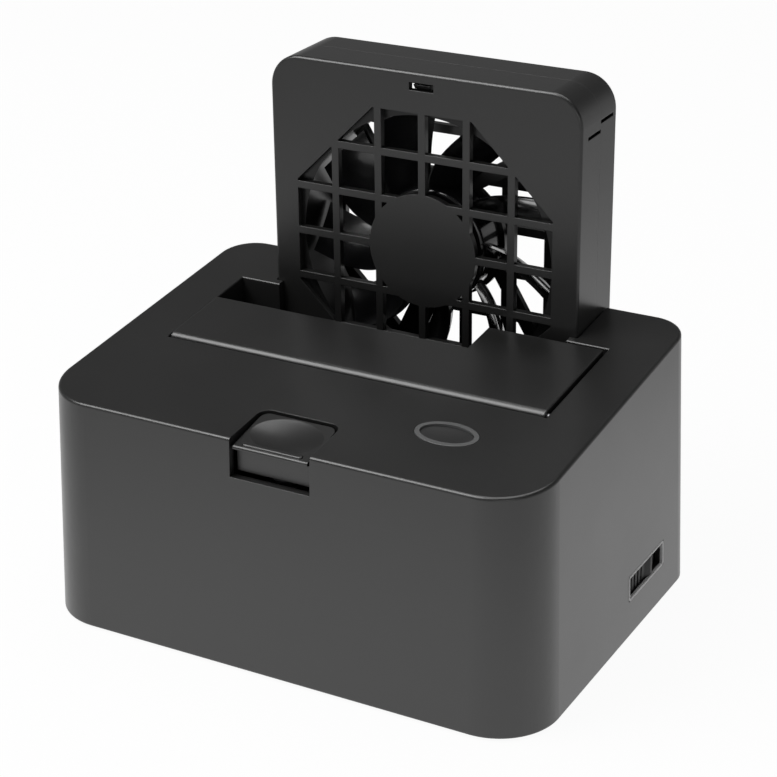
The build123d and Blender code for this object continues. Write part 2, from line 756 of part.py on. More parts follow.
# Data port: square-shouldered metal shell round a two-level mouth
port_sheet = 0.6
port_back_wall = 1.5
usb_mouth_width = 8.6
usb_mouth_height = 7.0
usb_upper_width = 6.4
usb_tongue_width = 5.8
usb_tongue_height = 2.6
usb_blade_height = 0.9
usb_plane = facing_back(port_y, board_top_z)
with BuildPart() as usb_port:
    with BuildSketch(usb_plane):
        with Locations((-usb_x, usb_height / 2)):
            RectangleRounded(usb_width, usb_height, port_sheet)
    extrude(amount=-usb_depth)
    with BuildSketch(usb_plane):
        with Locations((-usb_x, port_sheet + usb_mouth_height / 2)):
            Rectangle(usb_mouth_width, usb_mouth_height)
        with Locations((-usb_x, (usb_height + usb_mouth_height) / 2 - port_sheet)):
            Rectangle(usb_upper_width, usb_height - usb_mouth_height)
    extrude(amount=-(usb_depth - port_back_wall), mode=Mode.SUBTRACT)
usb_port.part.label = "usb_port"
export_step(usb_port.part, "parts/usb_port.step")

with BuildPart() as usb_tongue:
    with BuildSketch(usb_plane.offset(-port_back_wall)):
        with Locations((-usb_x, port_sheet + usb_mouth_height / 2)):
            Rectangle(usb_tongue_width, usb_tongue_height)
        with Locations((-usb_x, usb_mouth_height + usb_blade_height)):
            Rectangle(usb_tongue_width - usb_blade_height, usb_blade_height)
    extrude(amount=-(usb_depth - 2 * port_back_wall))
usb_tongue.part.label = "usb_tongue"
export_step(usb_tongue.part, "parts/usb_tongue.step")

# External drive port: low shell with an L-shaped tongue
esata_mouth_width = 13.4
esata_mouth_height = 4.4
esata_tongue_width = 11.6
esata_tongue_height = 1.2
esata_plane = facing_back(port_y, board_top_z + esata_height / 2)
with BuildPart() as esata_port:
    with BuildSketch(esata_plane):
        with Locations((-esata_x, 0)):
            RectangleRounded(esata_width, esata_height, port_sheet)
    extrude(amount=-esata_depth)
    with BuildSketch(esata_plane):
        with Locations((-esata_x, 0)):
            Rectangle(esata_mouth_width, esata_mouth_height)
    extrude(amount=-(esata_depth - port_back_wall), mode=Mode.SUBTRACT)
esata_port.part.label = "esata_port"
export_step(esata_port.part, "parts/esata_port.step")

with BuildPart() as esata_tongue:
    with BuildSketch(esata_plane.offset(-port_back_wall)):
        with Locations((-esata_x, 0)):
            Rectangle(esata_tongue_width, esata_tongue_height)
        with Locations((-esata_x + (esata_tongue_width - esata_tongue_height) / 2, -esata_tongue_height)):
            Rectangle(esata_tongue_height, esata_tongue_height)
    extrude(amount=-(esata_depth - 2 * port_back_wall))
esata_tongue.part.label = "esata_tongue"
export_step(esata_tongue.part, "parts/esata_tongue.step")

# Power jack: block with a round barrel and its centre pin
barrel_radius = 3.15
barrel_depth = 9.5
jack_pin_radius = 1.0
jack_rim_depth = 3.0
jack_back_height = 8.0
jack_plane = facing_back(port_y, board_top_z + jack_height / 2)
with BuildPart() as power_jack:
    with BuildSketch(jack_plane):
        with Locations((-jack_x, 0)):
            RectangleRounded(jack_width, jack_height, port_sheet)
    extrude(amount=-jack_rim_depth)
    with BuildSketch(facing_back(port_y - jack_rim_depth, board_top_z + jack_back_height / 2)):
        with Locations((-jack_x, 0)):
            Rectangle(jack_width, jack_back_height)
        with Locations((-jack_x, (jack_height - jack_back_height) / 2)):
            Circle(jack_width / 2)
    extrude(amount=-(jack_depth - jack_rim_depth))
    with BuildSketch(jack_plane):
        with Locations((-jack_x, 0)):
            Circle(barrel_radius)
    extrude(amount=-barrel_depth, mode=Mode.SUBTRACT)
power_jack.part.label = "power_jack"
export_step(power_jack.part, "parts/power_jack.step")

with BuildPart() as jack_pin:
    with BuildSketch(jack_plane.offset(-port_back_wall)):
        with Locations((-jack_x, 0)):
            Circle(jack_pin_radius)
    extrude(amount=-(barrel_depth - port_back_wall))
    fillet(jack_pin.faces().sort_by(Axis.Y)[-1].edges(), radius=jack_pin_radius / 2)
jack_pin.part.label = "jack_pin"
export_step(jack_pin.part, "parts/jack_pin.step")

# Light ring: clear elliptical tube in the top, with a flange below the wall
cap_half_length = ring_half_length - ring_width - seat_gap
cap_half_depth = ring_half_depth - ring_width - seat_gap
with BuildPart() as light_ring:
    with BuildSketch(on_top(ring_x, ring_y, ring_proud)):
        Ellipse(ring_half_length, ring_half_depth)
    extrude(amount=-(ring_height + ring_proud))
    fillet(light_ring.faces().sort_by(Axis.Z)[-1].edges(), radius=ring_proud)
    with BuildSketch(on_top(ring_x, ring_y, -shell_wall)):
        Ellipse(ring_half_length + ring_flange, ring_half_depth + ring_flange)
    extrude(amount=-ring_flange_thickness)
    with BuildSketch(on_top(ring_x, ring_y, cut_over)):
        Ellipse(ring_half_length - ring_width, ring_half_depth - ring_width)
    extrude(amount=-(ring_height + 2 * cut_over), mode=Mode.SUBTRACT)
light_ring.part.label = "light_ring"
export_step(light_ring.part, "parts/light_ring.step")

# Power button: dished elliptical cap with a flange under the ring and a post
dish_radius = 60.0
dish_depth = 0.3
post_size = 4.6
cap_stop_lift = -(ring_height + fit_gap)
with BuildPart() as power_button:
    with BuildSketch(on_top(ring_x, ring_y, -cap_sink)):
        Ellipse(cap_half_length, cap_half_depth)
    extrude(amount=-(ring_height + fit_gap + cap_flange - cap_sink))
    with BuildSketch(on_top(ring_x, ring_y, cap_stop_lift)):
        Ellipse(cap_half_length + cap_flange, cap_half_depth + cap_flange)
    extrude(amount=-cap_flange)
    with BuildSketch(on_top(ring_x, ring_y, cap_stop_lift - cap_flange)):
        RectangleRounded(post_size, post_size, cap_flange)
    extrude(amount=-(cap_sink + cap_height + cap_stop_lift - cap_flange))
    with Locations(on_top(ring_x, ring_y, dish_radius - cap_sink - dish_depth)):
        Sphere(dish_radius, mode=Mode.SUBTRACT)
power_button.part.label = "power_button"
export_step(power_button.part, "parts/power_button.step")

# Power switch: case on the button board, and the plunger that the cap presses
plunger_reach = 1.0
plunger_well = plunger_reach + cap_travel + fit_gap
switch_top_lift = -(cap_sink + cap_height + plunger_height)
with BuildPart() as power_switch:
    with BuildSketch(on_top(ring_x, ring_y, switch_top_lift)):
        RectangleRounded(switch_size, switch_size, port_sheet)
    extrude(amount=-switch_height)
    with BuildSketch(on_top(ring_x, ring_y, switch_top_lift)):
        Rectangle(plunger_size + 2 * fit_gap, plunger_size + 2 * fit_gap)
    extrude(amount=-plunger_well, mode=Mode.SUBTRACT)
power_switch.part.label = "power_switch"
export_step(power_switch.part, "parts/power_switch.step")

with BuildPart() as power_switch_plunger:
    with BuildSketch(on_top(ring_x, ring_y, switch_top_lift + plunger_height)):
        Rectangle(plunger_size, plunger_size)
    extrude(amount=-(plunger_height + plunger_reach))
power_switch_plunger.part.label = "power_switch_plunger"
export_step(power_switch_plunger.part, "parts/power_switch_plunger.step")

# Button board below the top, with its screws and the lamps under the ring
led_length = 3.0
led_width = 1.6
led_height = 1.4
led_spread = 5.8
with BuildPart() as button_board:
    with BuildSketch(on_top(ring_x, ring_y, -button_board_drop)):
        RectangleRounded(button_board_length, button_board_depth, button_boss_radius)
        with Locations((-button_boss_x, 0), (button_boss_x, 0)):
            Circle(board_hole_radius, mode=Mode.SUBTRACT)
    extrude(amount=-button_board_thickness)
button_board.part.label = "button_board"
export_step(button_board.part, "parts/button_board.step")

with BuildPart() as status_lamps:
    with BuildSketch(on_top(ring_x, ring_y, -button_board_drop)):
        with Locations((-led_spread, 0), (led_spread, 0)):
            Rectangle(led_width, led_length)
    extrude(amount=led_height)
status_lamps.part.label = "status_lamps"
export_step(status_lamps.part, "parts/status_lamps.step")

button_screw_plane = Plane(
    origin=on_top(ring_x, ring_y, -button_board_drop - button_board_thickness).origin,
    x_dir=(1, 0, 0), z_dir=-top_normal)
button_board_screws = pan_screws(button_screw_plane, [(-button_boss_x, 0), (button_boss_x, 0)],
                                 button_boss_radius, screw_head_height, screw_shank_radius,
                                 button_board_thickness + button_screw_grip - fit_gap)
button_board_screws.label = "button_board_screws"
export_step(button_board_screws, "parts/button_board_screws.step")

# Eject button: dished cap with a lip over its front, and a long stem
button_side_gap = 0.83
button_floor_gap = 1.05
button_lip_inset = 0.15
button_lip_height = 1.55
button_lip_drop = 1.9
button_lip_radius = 0.7
button_face_recess = 2.1
button_back_drop = 0.5
button_wall = 1.4
button_roof = 2.6
button_tab_reach = 1.4
button_tab_length = 5.0
button_tab_height = 1.6
dish_half_length = 10.2
dish_half_width = 6.9
dish_sink = 1.1
ridge_length = 17.6
ridge_width = 1.6
ridge_rise = 0.5
ridge_top_radius = 0.42
ridge_inset = 1.55      # of the ridge's middle behind the lip's edge
stem_nose_radius = 1.6
button_width = notch_width - 2 * button_side_gap
button_lip_y = top_front_y + button_lip_inset
button_face_y = button_lip_y + button_face_recess
button_back_y = notch_back_y - button_side_gap
button_low_z = notch_z + button_floor_gap
button_lip_z = top_z(button_lip_y) - button_lip_drop
button_back_z = top_z(button_back_y) - button_back_drop
button_tilt = atan((button_back_z - button_lip_z) / (button_back_y - button_lip_y))
button_plane = Plane(origin=(0, button_lip_y, button_lip_z), x_dir=(1, 0, 0),
                     z_dir=(0, -sin(button_tilt), cos(button_tilt)))
button_roof_z = button_lip_z - button_roof + (stem_y - button_lip_y) * tan(button_tilt)
dish_middle = (button_back_y - button_lip_y) / 2 + ridge_inset / 2
dish_long_radius = (dish_half_length ** 2 + dish_sink ** 2) / (2 * dish_sink)
dish_cross_radius = (dish_half_width ** 2 + dish_sink ** 2) / (2 * dish_sink)
dish_axis_lift = dish_cross_radius - dish_sink
lever_top_z = lever_z + lever_height / 2
nose_z = lever_top_z + seat_gap + stem_nose_radius
dish_plane = Plane(origin=button_plane.from_local_coords((0, dish_middle, 0)), x_dir=(1, 0, 0),
                   z_dir=-button_plane.y_dir)
with BuildPart() as dish:
    with BuildSketch(dish_plane):
        with BuildLine():
            ThreePointArc((-dish_half_length, 0), (0, -dish_sink), (dish_half_length, 0))
            Line((dish_half_length, 0), (dish_half_length, dish_axis_lift))
            Line((dish_half_length, dish_axis_lift), (-dish_half_length, dish_axis_lift))
            Line((-dish_half_length, dish_axis_lift), (-dish_half_length, 0))
        make_face()
    revolve(axis=Axis(dish_plane.from_local_coords((0, dish_axis_lift, 0)), (1, 0, 0)))

with BuildPart() as eject_button:
    with BuildSketch(Plane.YZ):
        with BuildLine():
            Polyline((button_face_y, button_low_z),
                     (button_face_y, button_lip_z - button_lip_height),
                     (button_lip_y, button_lip_z - button_lip_height + button_lip_radius),
                     (button_lip_y, button_lip_z),
                     (button_back_y, button_back_z),
                     (button_back_y, button_low_z), close=True)
        make_face()
    extrude(amount=button_width / 2, both=True)
    lip_edges = eject_button.edges().filter_by(Axis.X).group_by(Axis.Y)[0]
    fillet(lip_edges.sort_by(Axis.Z)[-1], radius=button_lip_radius)
    add(dish.part, mode=Mode.SUBTRACT)
    with BuildSketch(button_plane.offset(ridge_rise)):
        with Locations((0, ridge_inset)):
            SlotOverall(ridge_length, ridge_width)
    extrude(amount=-2 * ridge_rise)
    ridge_top = eject_button.faces().sort_by(Axis(button_plane.origin, button_plane.z_dir))[-1]
    fillet(ridge_top.edges(), radius=ridge_top_radius)
    upright = eject_button.edges().filter_by(Axis.Z)
    fillet(upright.group_by(Axis.Y)[-1], radius=notch_corner_radius - button_side_gap)
    with BuildSketch(Plane.XY.offset(button_low_z)):
        with Locations((0, (button_face_y + button_back_y) / 2)):
            RectangleRounded(button_width - 2 * button_wall, button_back_y - button_face_y - 2 * button_wall,
                             button_wall / 2)
    extrude(amount=button_roof_z - button_low_z, mode=Mode.SUBTRACT)
    # Stem with a rounded nose on the lever
    with BuildSketch(Plane.XY.offset(button_roof_z)):
        with Locations((0, stem_y)):
            Rectangle(stem_size, stem_size)
    extrude(amount=-(button_roof_z - nose_z - stem_size))
    with BuildSketch(Plane.YZ):
        with Locations((stem_y, nose_z)):
            Circle(stem_nose_radius)
        with Locations((stem_y, nose_z + stem_size / 2)):
            Rectangle(2 * stem_nose_radius, stem_size)
    extrude(amount=stem_size / 2, both=True)
    # Tabs that stop the button under the housing's top
    tab_top_z = top_z(stem_y) - shell_wall - fit_gap / 2
    tab_x = notch_width / 2 + button_tab_reach
    with BuildSketch(Plane.XY.offset(tab_top_z - top_slope * button_tab_length / 2)):
        for tab_side in (-1, 1):
            with Locations((tab_side * (tab_x + button_width / 2 - button_wall) / 2, stem_y)):
                Rectangle(tab_x - button_width / 2 + button_wall, button_tab_length)
    extrude(amount=-button_tab_height)
eject_button.part.label = "eject_button"
export_step(eject_button.part, "parts/eject_button.step")

# Return spring of the eject button, on the shelf round the stem
eject_spring_radius = 5.0
eject_spring_wire = 0.8
with BuildPart() as eject_spring:
    with BuildSketch(Plane.XY.offset(shelf_z + shelf_thickness)):
        with Locations((0, stem_y)):
            Circle(eject_spring_radius)
            Circle(eject_spring_radius - eject_spring_wire, mode=Mode.SUBTRACT)
    extrude(amount=button_roof_z - shelf_z - shelf_thickness)
eject_spring.part.label = "eject_spring"
export_step(eject_spring.part, "parts/eject_spring.step")

# Eject lever: bar on a pivot hub, with a finger that rises through the well's floor
lever_low_z = lever_z - lever_height / 2
with BuildPart() as eject_lever:
    with BuildSketch(Plane.YZ) as lever_shape:
        with Locations(((lever_front_y + lever_finger_y) / 2, lever_z)):
            RectangleRounded(lever_finger_y - lever_front_y, lever_height, lever_height / 4)
        with Locations((lever_pivot_y, lever_z)):
            Circle(lever_hub_radius)
        with Locations((lever_finger_y - lever_finger_length / 2, (lever_low_z + lever_finger_top_z) / 2)):
            RectangleRounded(lever_finger_length, lever_finger_top_z - lever_low_z, lever_height / 4)
    extrude(amount=lever_width / 2, both=True)
    with BuildSketch(Plane.YZ):
        with Locations((lever_pivot_y, lever_z)):
            Circle(lever_pin_radius + pin_gap)
    extrude(amount=lever_width, both=True, mode=Mode.SUBTRACT)
    # Lightening pockets on both sides of the bar
    with BuildSketch(Plane.YZ.offset(lever_width / 2)):
        with Locations((lever_pivot_y + (lever_finger_y - lever_pivot_y) / 2, lever_z)):
            Rectangle((lever_finger_y - lever_pivot_y) / 2, lever_height / 2)
    extrude(amount=-lever_width / 4, mode=Mode.SUBTRACT)
    with BuildSketch(Plane.YZ.offset(-lever_width / 2)):
        with Locations((lever_pivot_y + (lever_finger_y - lever_pivot_y) / 2, lever_z)):
            Rectangle((lever_finger_y - lever_pivot_y) / 2, lever_height / 2)
    extrude(amount=lever_width / 4, mode=Mode.SUBTRACT)
eject_lever.part.label = "eject_lever"
export_step(eject_lever.part, "parts/eject_lever.step")

with BuildPart() as eject_pivot_pin:
    with BuildSketch(Plane.YZ):
        with Locations((lever_pivot_y, lever_z)):
            Circle(lever_pin_radius)
    extrude(amount=ear_outer_x + fit_gap, both=True)
    chamfer(eject_pivot_pin.edges().filter_by(GeomType.CIRCLE), length=lever_pin_radius / 5)
eject_pivot_pin.part.label = "eject_pivot_pin"
export_step(eject_pivot_pin.part, "parts/eject_pivot_pin.step")

# Slot flap: plate with a hinge barrel, shorter over the small-drive notch
flap_half_width = mouth_width / 2 - flap_side_gap
flap_back_gap = 2.1
flap_notch_inset = 24.5
flap_back_y = mouth_back_y - flap_back_gap
flap_notch_y = mouth_front_y + flap_notch_inset
flap_notch_x = 22.9
flap_edge_radius = 0.4
flap_rib_depth = 1.7
flap_rib_width = 1.4
flap_rib_count = 5
flap_spring_pocket = 16.0
flap_spring_radius = 1.4
flap_spring_wire = 0.4
flap_reach = (flap_back_y - hinge_y) / cos(radians(top_tilt))
flap_notch_reach = (flap_notch_y - hinge_y) / cos(radians(top_tilt))
flap_low = flap_barrel_radius - flap_thickness
flap_side = Plane(origin=hinge_plane.origin, x_dir=(0, cos(radians(top_tilt)), sin(radians(top_tilt))),
                  z_dir=(1, 0, 0))
with BuildPart() as slot_flap:
    with BuildSketch(flap_side):
        Circle(flap_barrel_radius)
        with Locations((flap_reach / 2, flap_barrel_radius - flap_thickness / 2)):
            Rectangle(flap_reach, flap_thickness)
    extrude(amount=flap_half_width, both=True)
    # Notch that stays open for a small drive
    with BuildSketch(hinge_plane.offset(-cut_over)):
        with Locations(((flap_notch_x - flap_half_width - cut_over) / 2,
                        (flap_notch_reach + flap_reach + cut_over) / 2)):
            Rectangle(flap_notch_x + flap_half_width + cut_over, flap_reach + cut_over - flap_notch_reach)
    extrude(amount=2 * cut_over, mode=Mode.SUBTRACT)
    flap_top = slot_flap.faces().sort_by(Axis(hinge_plane.origin, top_normal))[-1]
    fillet(flap_top.edges().filter_by(lambda edge: edge.center().Y > hinge_y + flap_barrel_radius),
           radius=flap_edge_radius)
    # Ribs below the plate
    rib_pitch = (flap_half_width - flap_rib_width) * 2 / (flap_rib_count - 1)
    with BuildSketch(hinge_plane.offset(flap_low)):
        with Locations((0, flap_notch_reach / 2)):
            with GridLocations(rib_pitch, flap_notch_reach, flap_rib_count, 1):
                Rectangle(flap_rib_width, flap_notch_reach - 2 * flap_rib_width)
    extrude(amount=-flap_rib_depth)
    # Bore of the pin, and a pocket for the spring in the middle of the barrel
    with BuildSketch(flap_side):
        Circle(flap_pin_radius + pin_gap)
    extrude(amount=flap_half_width + cut_over, both=True, mode=Mode.SUBTRACT)
    with BuildSketch(flap_side):
        Circle(flap_spring_radius + pin_gap)
        with Locations((0, -flap_barrel_radius / 2 - seat_gap)):
            Rectangle(2 * flap_barrel_radius + 2 * seat_gap, flap_barrel_radius + 2 * seat_gap)
    extrude(amount=flap_spring_pocket / 2, both=True, mode=Mode.SUBTRACT)
slot_flap.part.label = "slot_flap"
export_step(slot_flap.part, "parts/slot_flap.step")

with BuildPart() as flap_hinge_pin:
    with BuildSketch(flap_side):
        Circle(flap_pin_radius)
    extrude(amount=mouth_width / 2 + flap_pin_seat - seat_gap, both=True)
flap_hinge_pin.part.label = "flap_hinge_pin"
export_step(flap_hinge_pin.part, "parts/flap_hinge_pin.step")

with BuildPart() as flap_spring:
    with BuildSketch(flap_side):
        Circle(flap_spring_radius)
        Circle(flap_spring_radius - flap_spring_wire, mode=Mode.SUBTRACT)
    extrude(amount=flap_spring_pocket / 2 - fit_gap, both=True)
flap_spring.part.label = "flap_spring"
export_step(flap_spring.part, "parts/flap_spring.step")

# Fan switch: case on the board behind the side wall, and its sliding knob
switch_case_margin = 1.25
switch_case_length = window_length + 2 * switch_case_margin
switch_case_depth = 6.0
switch_case_gap = 0.4
knob_length = 15.0
knob_travel = 6.0
knob_rest = 3.0         # of the knob's middle in front of the window's middle
knob_sink = 1.0         # of the ridged face inside the housing's wall
grip_length = 3.6       # of the wedge that a finger pushes, at the knob's back end
grip_crest = 1.5
grip_sink = 0.1         # of its crest inside the housing's wall
knob_stem_length = 4.0
knob_stem_height = 2.4
knob_stem_reach = 3.0
knob_groove_count = 4
knob_groove_pitch = 2.3
knob_groove_width = 0.9
knob_groove_depth = 0.5
case_face_x = base_width / 2 - shell_wall - lean(window_z + window_height / 2 - rim_z, side_draft)
case_face_x = case_face_x - seat_gap
knob_y = window_y - knob_rest
knob_height = window_height - 2 * window_chamfer - 2 * fit_gap
with BuildPart() as fan_switch_case:
    with BuildSketch(Plane.YZ.offset(case_face_x)):
        with Locations((window_y, window_z)):
            Rectangle(switch_case_length, window_height)
    extrude(amount=-switch_case_depth)
    with BuildSketch(Plane.YZ.offset(case_face_x)):
        with Locations((knob_y + knob_travel / 2, window_z)):
            Rectangle(knob_travel + knob_stem_length + 2 * fit_gap, knob_stem_height + 2 * fit_gap)
    extrude(amount=-(knob_stem_reach + fit_gap), mode=Mode.SUBTRACT)
fan_switch_case.part.label = "fan_switch_case"
export_step(fan_switch_case.part, "parts/fan_switch_case.step")

wall_x = base_width / 2 - lean(window_z - rim_z, side_draft)
knob_face_x = wall_x - knob_sink
knob_back_y = knob_y + knob_length / 2
groove_y = knob_y - grip_length / 2
with BuildPart() as fan_switch_knob:
    with BuildSketch(Plane.YZ.offset(case_face_x + switch_case_gap)):
        with Locations((knob_y, window_z)):
            Rectangle(knob_length, knob_height)
    extrude(amount=knob_face_x - case_face_x - switch_case_gap)
    with BuildSketch(Plane.YZ.offset(knob_face_x)):
        with Locations((groove_y, window_z)):
            with GridLocations(knob_groove_pitch, knob_height, knob_groove_count, 1):
                Rectangle(knob_groove_width, knob_height)
    extrude(amount=-knob_groove_depth, mode=Mode.SUBTRACT)
    with BuildSketch(Plane.XY.offset(window_z)):
        with BuildLine():
            Polyline((knob_face_x, knob_back_y - grip_length),
                     (wall_x - grip_sink, knob_back_y - grip_crest),
                     (wall_x - grip_sink, knob_back_y),
                     (knob_face_x - knob_groove_depth, knob_back_y),
                     (knob_face_x - knob_groove_depth, knob_back_y - grip_length), close=True)
        make_face()
    extrude(amount=knob_height / 2, both=True)
    fillet(fan_switch_knob.faces().sort_by(Axis.X)[-1].edges(), radius=grip_crest / 5)
    with BuildSketch(Plane.YZ.offset(case_face_x + switch_case_gap)):
        with Locations((knob_y, window_z)):
            Rectangle(knob_stem_length, knob_stem_height)
    extrude(amount=-(knob_stem_reach + switch_case_gap - fit_gap))
fan_switch_knob.part.label = "fan_switch_knob"
export_step(fan_switch_knob.part, "parts/fan_switch_knob.step")

# Front half of the fan module: grille in an eight-cornered opening, round hub cover
fan_z = 91.0
fan_size = 80.0
fan_depth = 15.0
fan_hole_spread = 71.5
fan_hole_radius = 2.15
grille_reach = 39.2
grille_flat = 15.1      # from the middle to the corners of the opening's flats
grille_pitch = 13.5
grille_bar = 2.1
grille_count = 6
hub_cover_radius = 16.4
latch_z = 137.7
latch_width = 7.4
latch_height = 2.2
slot_height = 1.0
slot_length = 8.1
bezel_slot_z = 129.0
cover_slot_z = 131.5
lip_wall = 1.2
lip_depth = 4.0
lip_gap = 0.15
stop_width = 3.0


def grille_openings(plane, pitch, bar, shift, middle_radius):
    """Square openings between the bars, inside the eight-cornered outline."""
    with BuildSketch(plane) as openings:
        with Locations((shift, 0)):
            with GridLocations(pitch, pitch, grille_count, grille_count):
                Rectangle(pitch - bar, pitch - bar)
        with BuildLine():
            Polyline((-grille_flat, grille_reach), (grille_flat, grille_reach),
                     (grille_reach, grille_flat), (grille_reach, -grille_flat),
                     (grille_flat, -grille_reach), (-grille_flat, -grille_reach),
                     (-grille_reach, -grille_flat), (-grille_reach, grille_flat), close=True)
        make_face(mode=Mode.INTERSECT)
        if middle_radius:
            Circle(middle_radius, mode=Mode.SUBTRACT)
    return openings.sketch


bezel_plane = facing_front(module_front_y, module_z)
with BuildPart() as fan_front_bezel:
    extrude(module_outline(bezel_plane, 0), amount=-bezel_depth)
    fillet(fan_front_bezel.faces().sort_by(Axis.Y)[0].edges(), radius=module_edge_radius)
    extrude(module_outline(bezel_plane.offset(-module_face), module_wall), amount=-bezel_depth,
            mode=Mode.SUBTRACT)
    extrude(grille_openings(facing_front(module_front_y - cut_over, fan_z), grille_pitch, grille_bar,
                            0, hub_cover_radius),
            amount=-(cut_over + module_face), mode=Mode.SUBTRACT)
    # Window of the latch
    with BuildSketch(facing_front(module_front_y - cut_over, latch_z)):
        Rectangle(latch_width, latch_height)
    extrude(amount=-(cut_over + module_face), mode=Mode.SUBTRACT)
    # Snap slots in both sides
    with BuildSketch(Plane.YZ):
        with Locations((seam_y - slot_length / 2, bezel_slot_z)):
            Rectangle(slot_length, slot_height)
    extrude(amount=module_width, both=True, mode=Mode.SUBTRACT)
fan_front_bezel.part.label = "fan_front_bezel"
export_step(fan_front_bezel.part, "parts/fan_front_bezel.step")

# Rear half of the fan module: grille, posts for the fan, lip and latch hook
rear_grille_z = 93.4
rear_grille_pitch = 13.15
rear_grille_bar = 2.5
rear_grille_shift = -2.3
cover_depth = module_depth - bezel_depth
recess_radius = 3.4
recess_depth = 1.0
fan_post_radius = 4.2
hook_width = 5.0
hook_thickness = 1.3
hook_gap = 0.25
hook_rise = 1.4
module_boss_radius = 2.4
module_boss_height = 4.0
fan_front_y = module_front_y + module_face
fan_back_y = fan_front_y + fan_depth
fan_corners = [(x * fan_hole_spread / 2, z * fan_hole_spread / 2) for x in (-1, 1) for z in (-1, 1)]
cover_plane = facing_back(module_back_y, module_z)
fan_cover_plane = facing_back(module_back_y, fan_z)
hook_low_z = latch_z - latch_height / 2 - hook_thickness + hook_gap
with BuildPart() as fan_rear_cover:
    extrude(module_outline(cover_plane, 0), amount=-cover_depth)
    fillet(fan_rear_cover.faces().sort_by(Axis.Y)[-1].edges(), radius=module_back_edge_radius)
    extrude(module_outline(cover_plane.offset(-cover_depth), module_wall + lip_gap), amount=-lip_depth)
    extrude(module_outline(cover_plane.offset(-module_face), module_wall + lip_gap + lip_wall),
            amount=-(cover_depth + lip_depth), mode=Mode.SUBTRACT)
    # Posts between the fan and the back wall
    with BuildSketch(fan_cover_plane.offset(-module_face)):
        with Locations(*fan_corners):
            Circle(fan_post_radius)
    extrude(amount=-(module_back_y - module_face - fan_back_y))
    # Bosses for the screws from the base
    with BuildSketch(Plane.XY.offset(module_bottom_z + module_wall)):
        with Locations(*module_screw_places):
            Circle(module_boss_radius)
    extrude(amount=module_boss_height)
    with BuildSketch(Plane.XY.offset(module_bottom_z)):
        with Locations(*module_screw_places):
            Circle(screw_radius - pin_gap)
    extrude(amount=module_wall + module_boss_height - fit_gap, mode=Mode.SUBTRACT)
    # Latch arm along the roof, its tooth in the front window
    with BuildSketch(Plane.YZ):
        with BuildLine():
            Polyline((module_back_y - module_face, hook_low_z),
                     (fan_front_y + fit_gap, hook_low_z),
                     (fan_front_y + fit_gap, hook_low_z + hook_thickness),
                     (module_front_y + fit_gap + module_face / 2, hook_low_z + hook_thickness),
                     (module_front_y + fit_gap, hook_low_z + hook_thickness + hook_rise),
                     (fan_front_y + fit_gap + hook_rise, hook_low_z + hook_thickness + hook_rise),
                     (fan_front_y + 2 * fit_gap + 2 * hook_rise, hook_low_z + hook_thickness),
                     (module_back_y - module_face, hook_low_z + hook_thickness), close=True)
        make_face()
    extrude(amount=hook_width / 2, both=True)
    extrude(grille_openings(facing_back(module_back_y + cut_over, rear_grille_z), rear_grille_pitch,
                            rear_grille_bar, rear_grille_shift, 0),
            amount=-(cut_over + module_face), mode=Mode.SUBTRACT)
    # Recesses and holes of the fan's screws
    with BuildSketch(fan_cover_plane):
        with Locations(*fan_corners):
            Circle(recess_radius)
    extrude(amount=-recess_depth, mode=Mode.SUBTRACT)
    with BuildSketch(fan_cover_plane):
        with Locations(*fan_corners):
            Circle(fan_hole_radius + fit_gap)
    extrude(amount=-cover_depth, mode=Mode.SUBTRACT)
    # Snap slots in both sides
    with BuildSketch(Plane.YZ):
        with Locations((seam_y + slot_length / 2, cover_slot_z)):
            Rectangle(slot_length, slot_height)
    extrude(amount=module_width, both=True, mode=Mode.SUBTRACT)
fan_rear_cover.part.label = "fan_rear_cover"
export_step(fan_rear_cover.part, "parts/fan_rear_cover.step")

# Fan frame: square flanges, round duct, motor mount on four struts at the back,
# the widest of which covers the motor's wires
duct_radius = 38.2
fan_corner_radius = 4.0
flange_depth = 3.2
duct_wall = 1.4
mount_radius = 18.0
mount_depth = 1.8
strut_width = 4.3
strut_lean = -40.0      # degrees, of a strut against its radius
strut_starts = [71.0, 161.0, 341.0]    # degrees, of their roots
wire_strut_width = 7.6
wire_strut_lean = -10.0
wire_strut_start = 255.0
strut_root_radius = 15.0
shaft_radius = 1.5
bearing_radius = 3.2
bearing_length = 7.8
bearing_tube_wall = 1.2
struts = [(strut_start, strut_lean, strut_width) for strut_start in strut_starts]
struts.append((wire_strut_start, wire_strut_lean, wire_strut_width))


def strut_length(angle):
    """Length from a strut's root to the middle of the duct's wall."""
    root_rise = strut_root_radius * sin(radians(angle))
    root_run = strut_root_radius * cos(radians(angle))
    return ((duct_radius + duct_wall / 2) ** 2 - root_rise ** 2) ** 0.5 - root_run


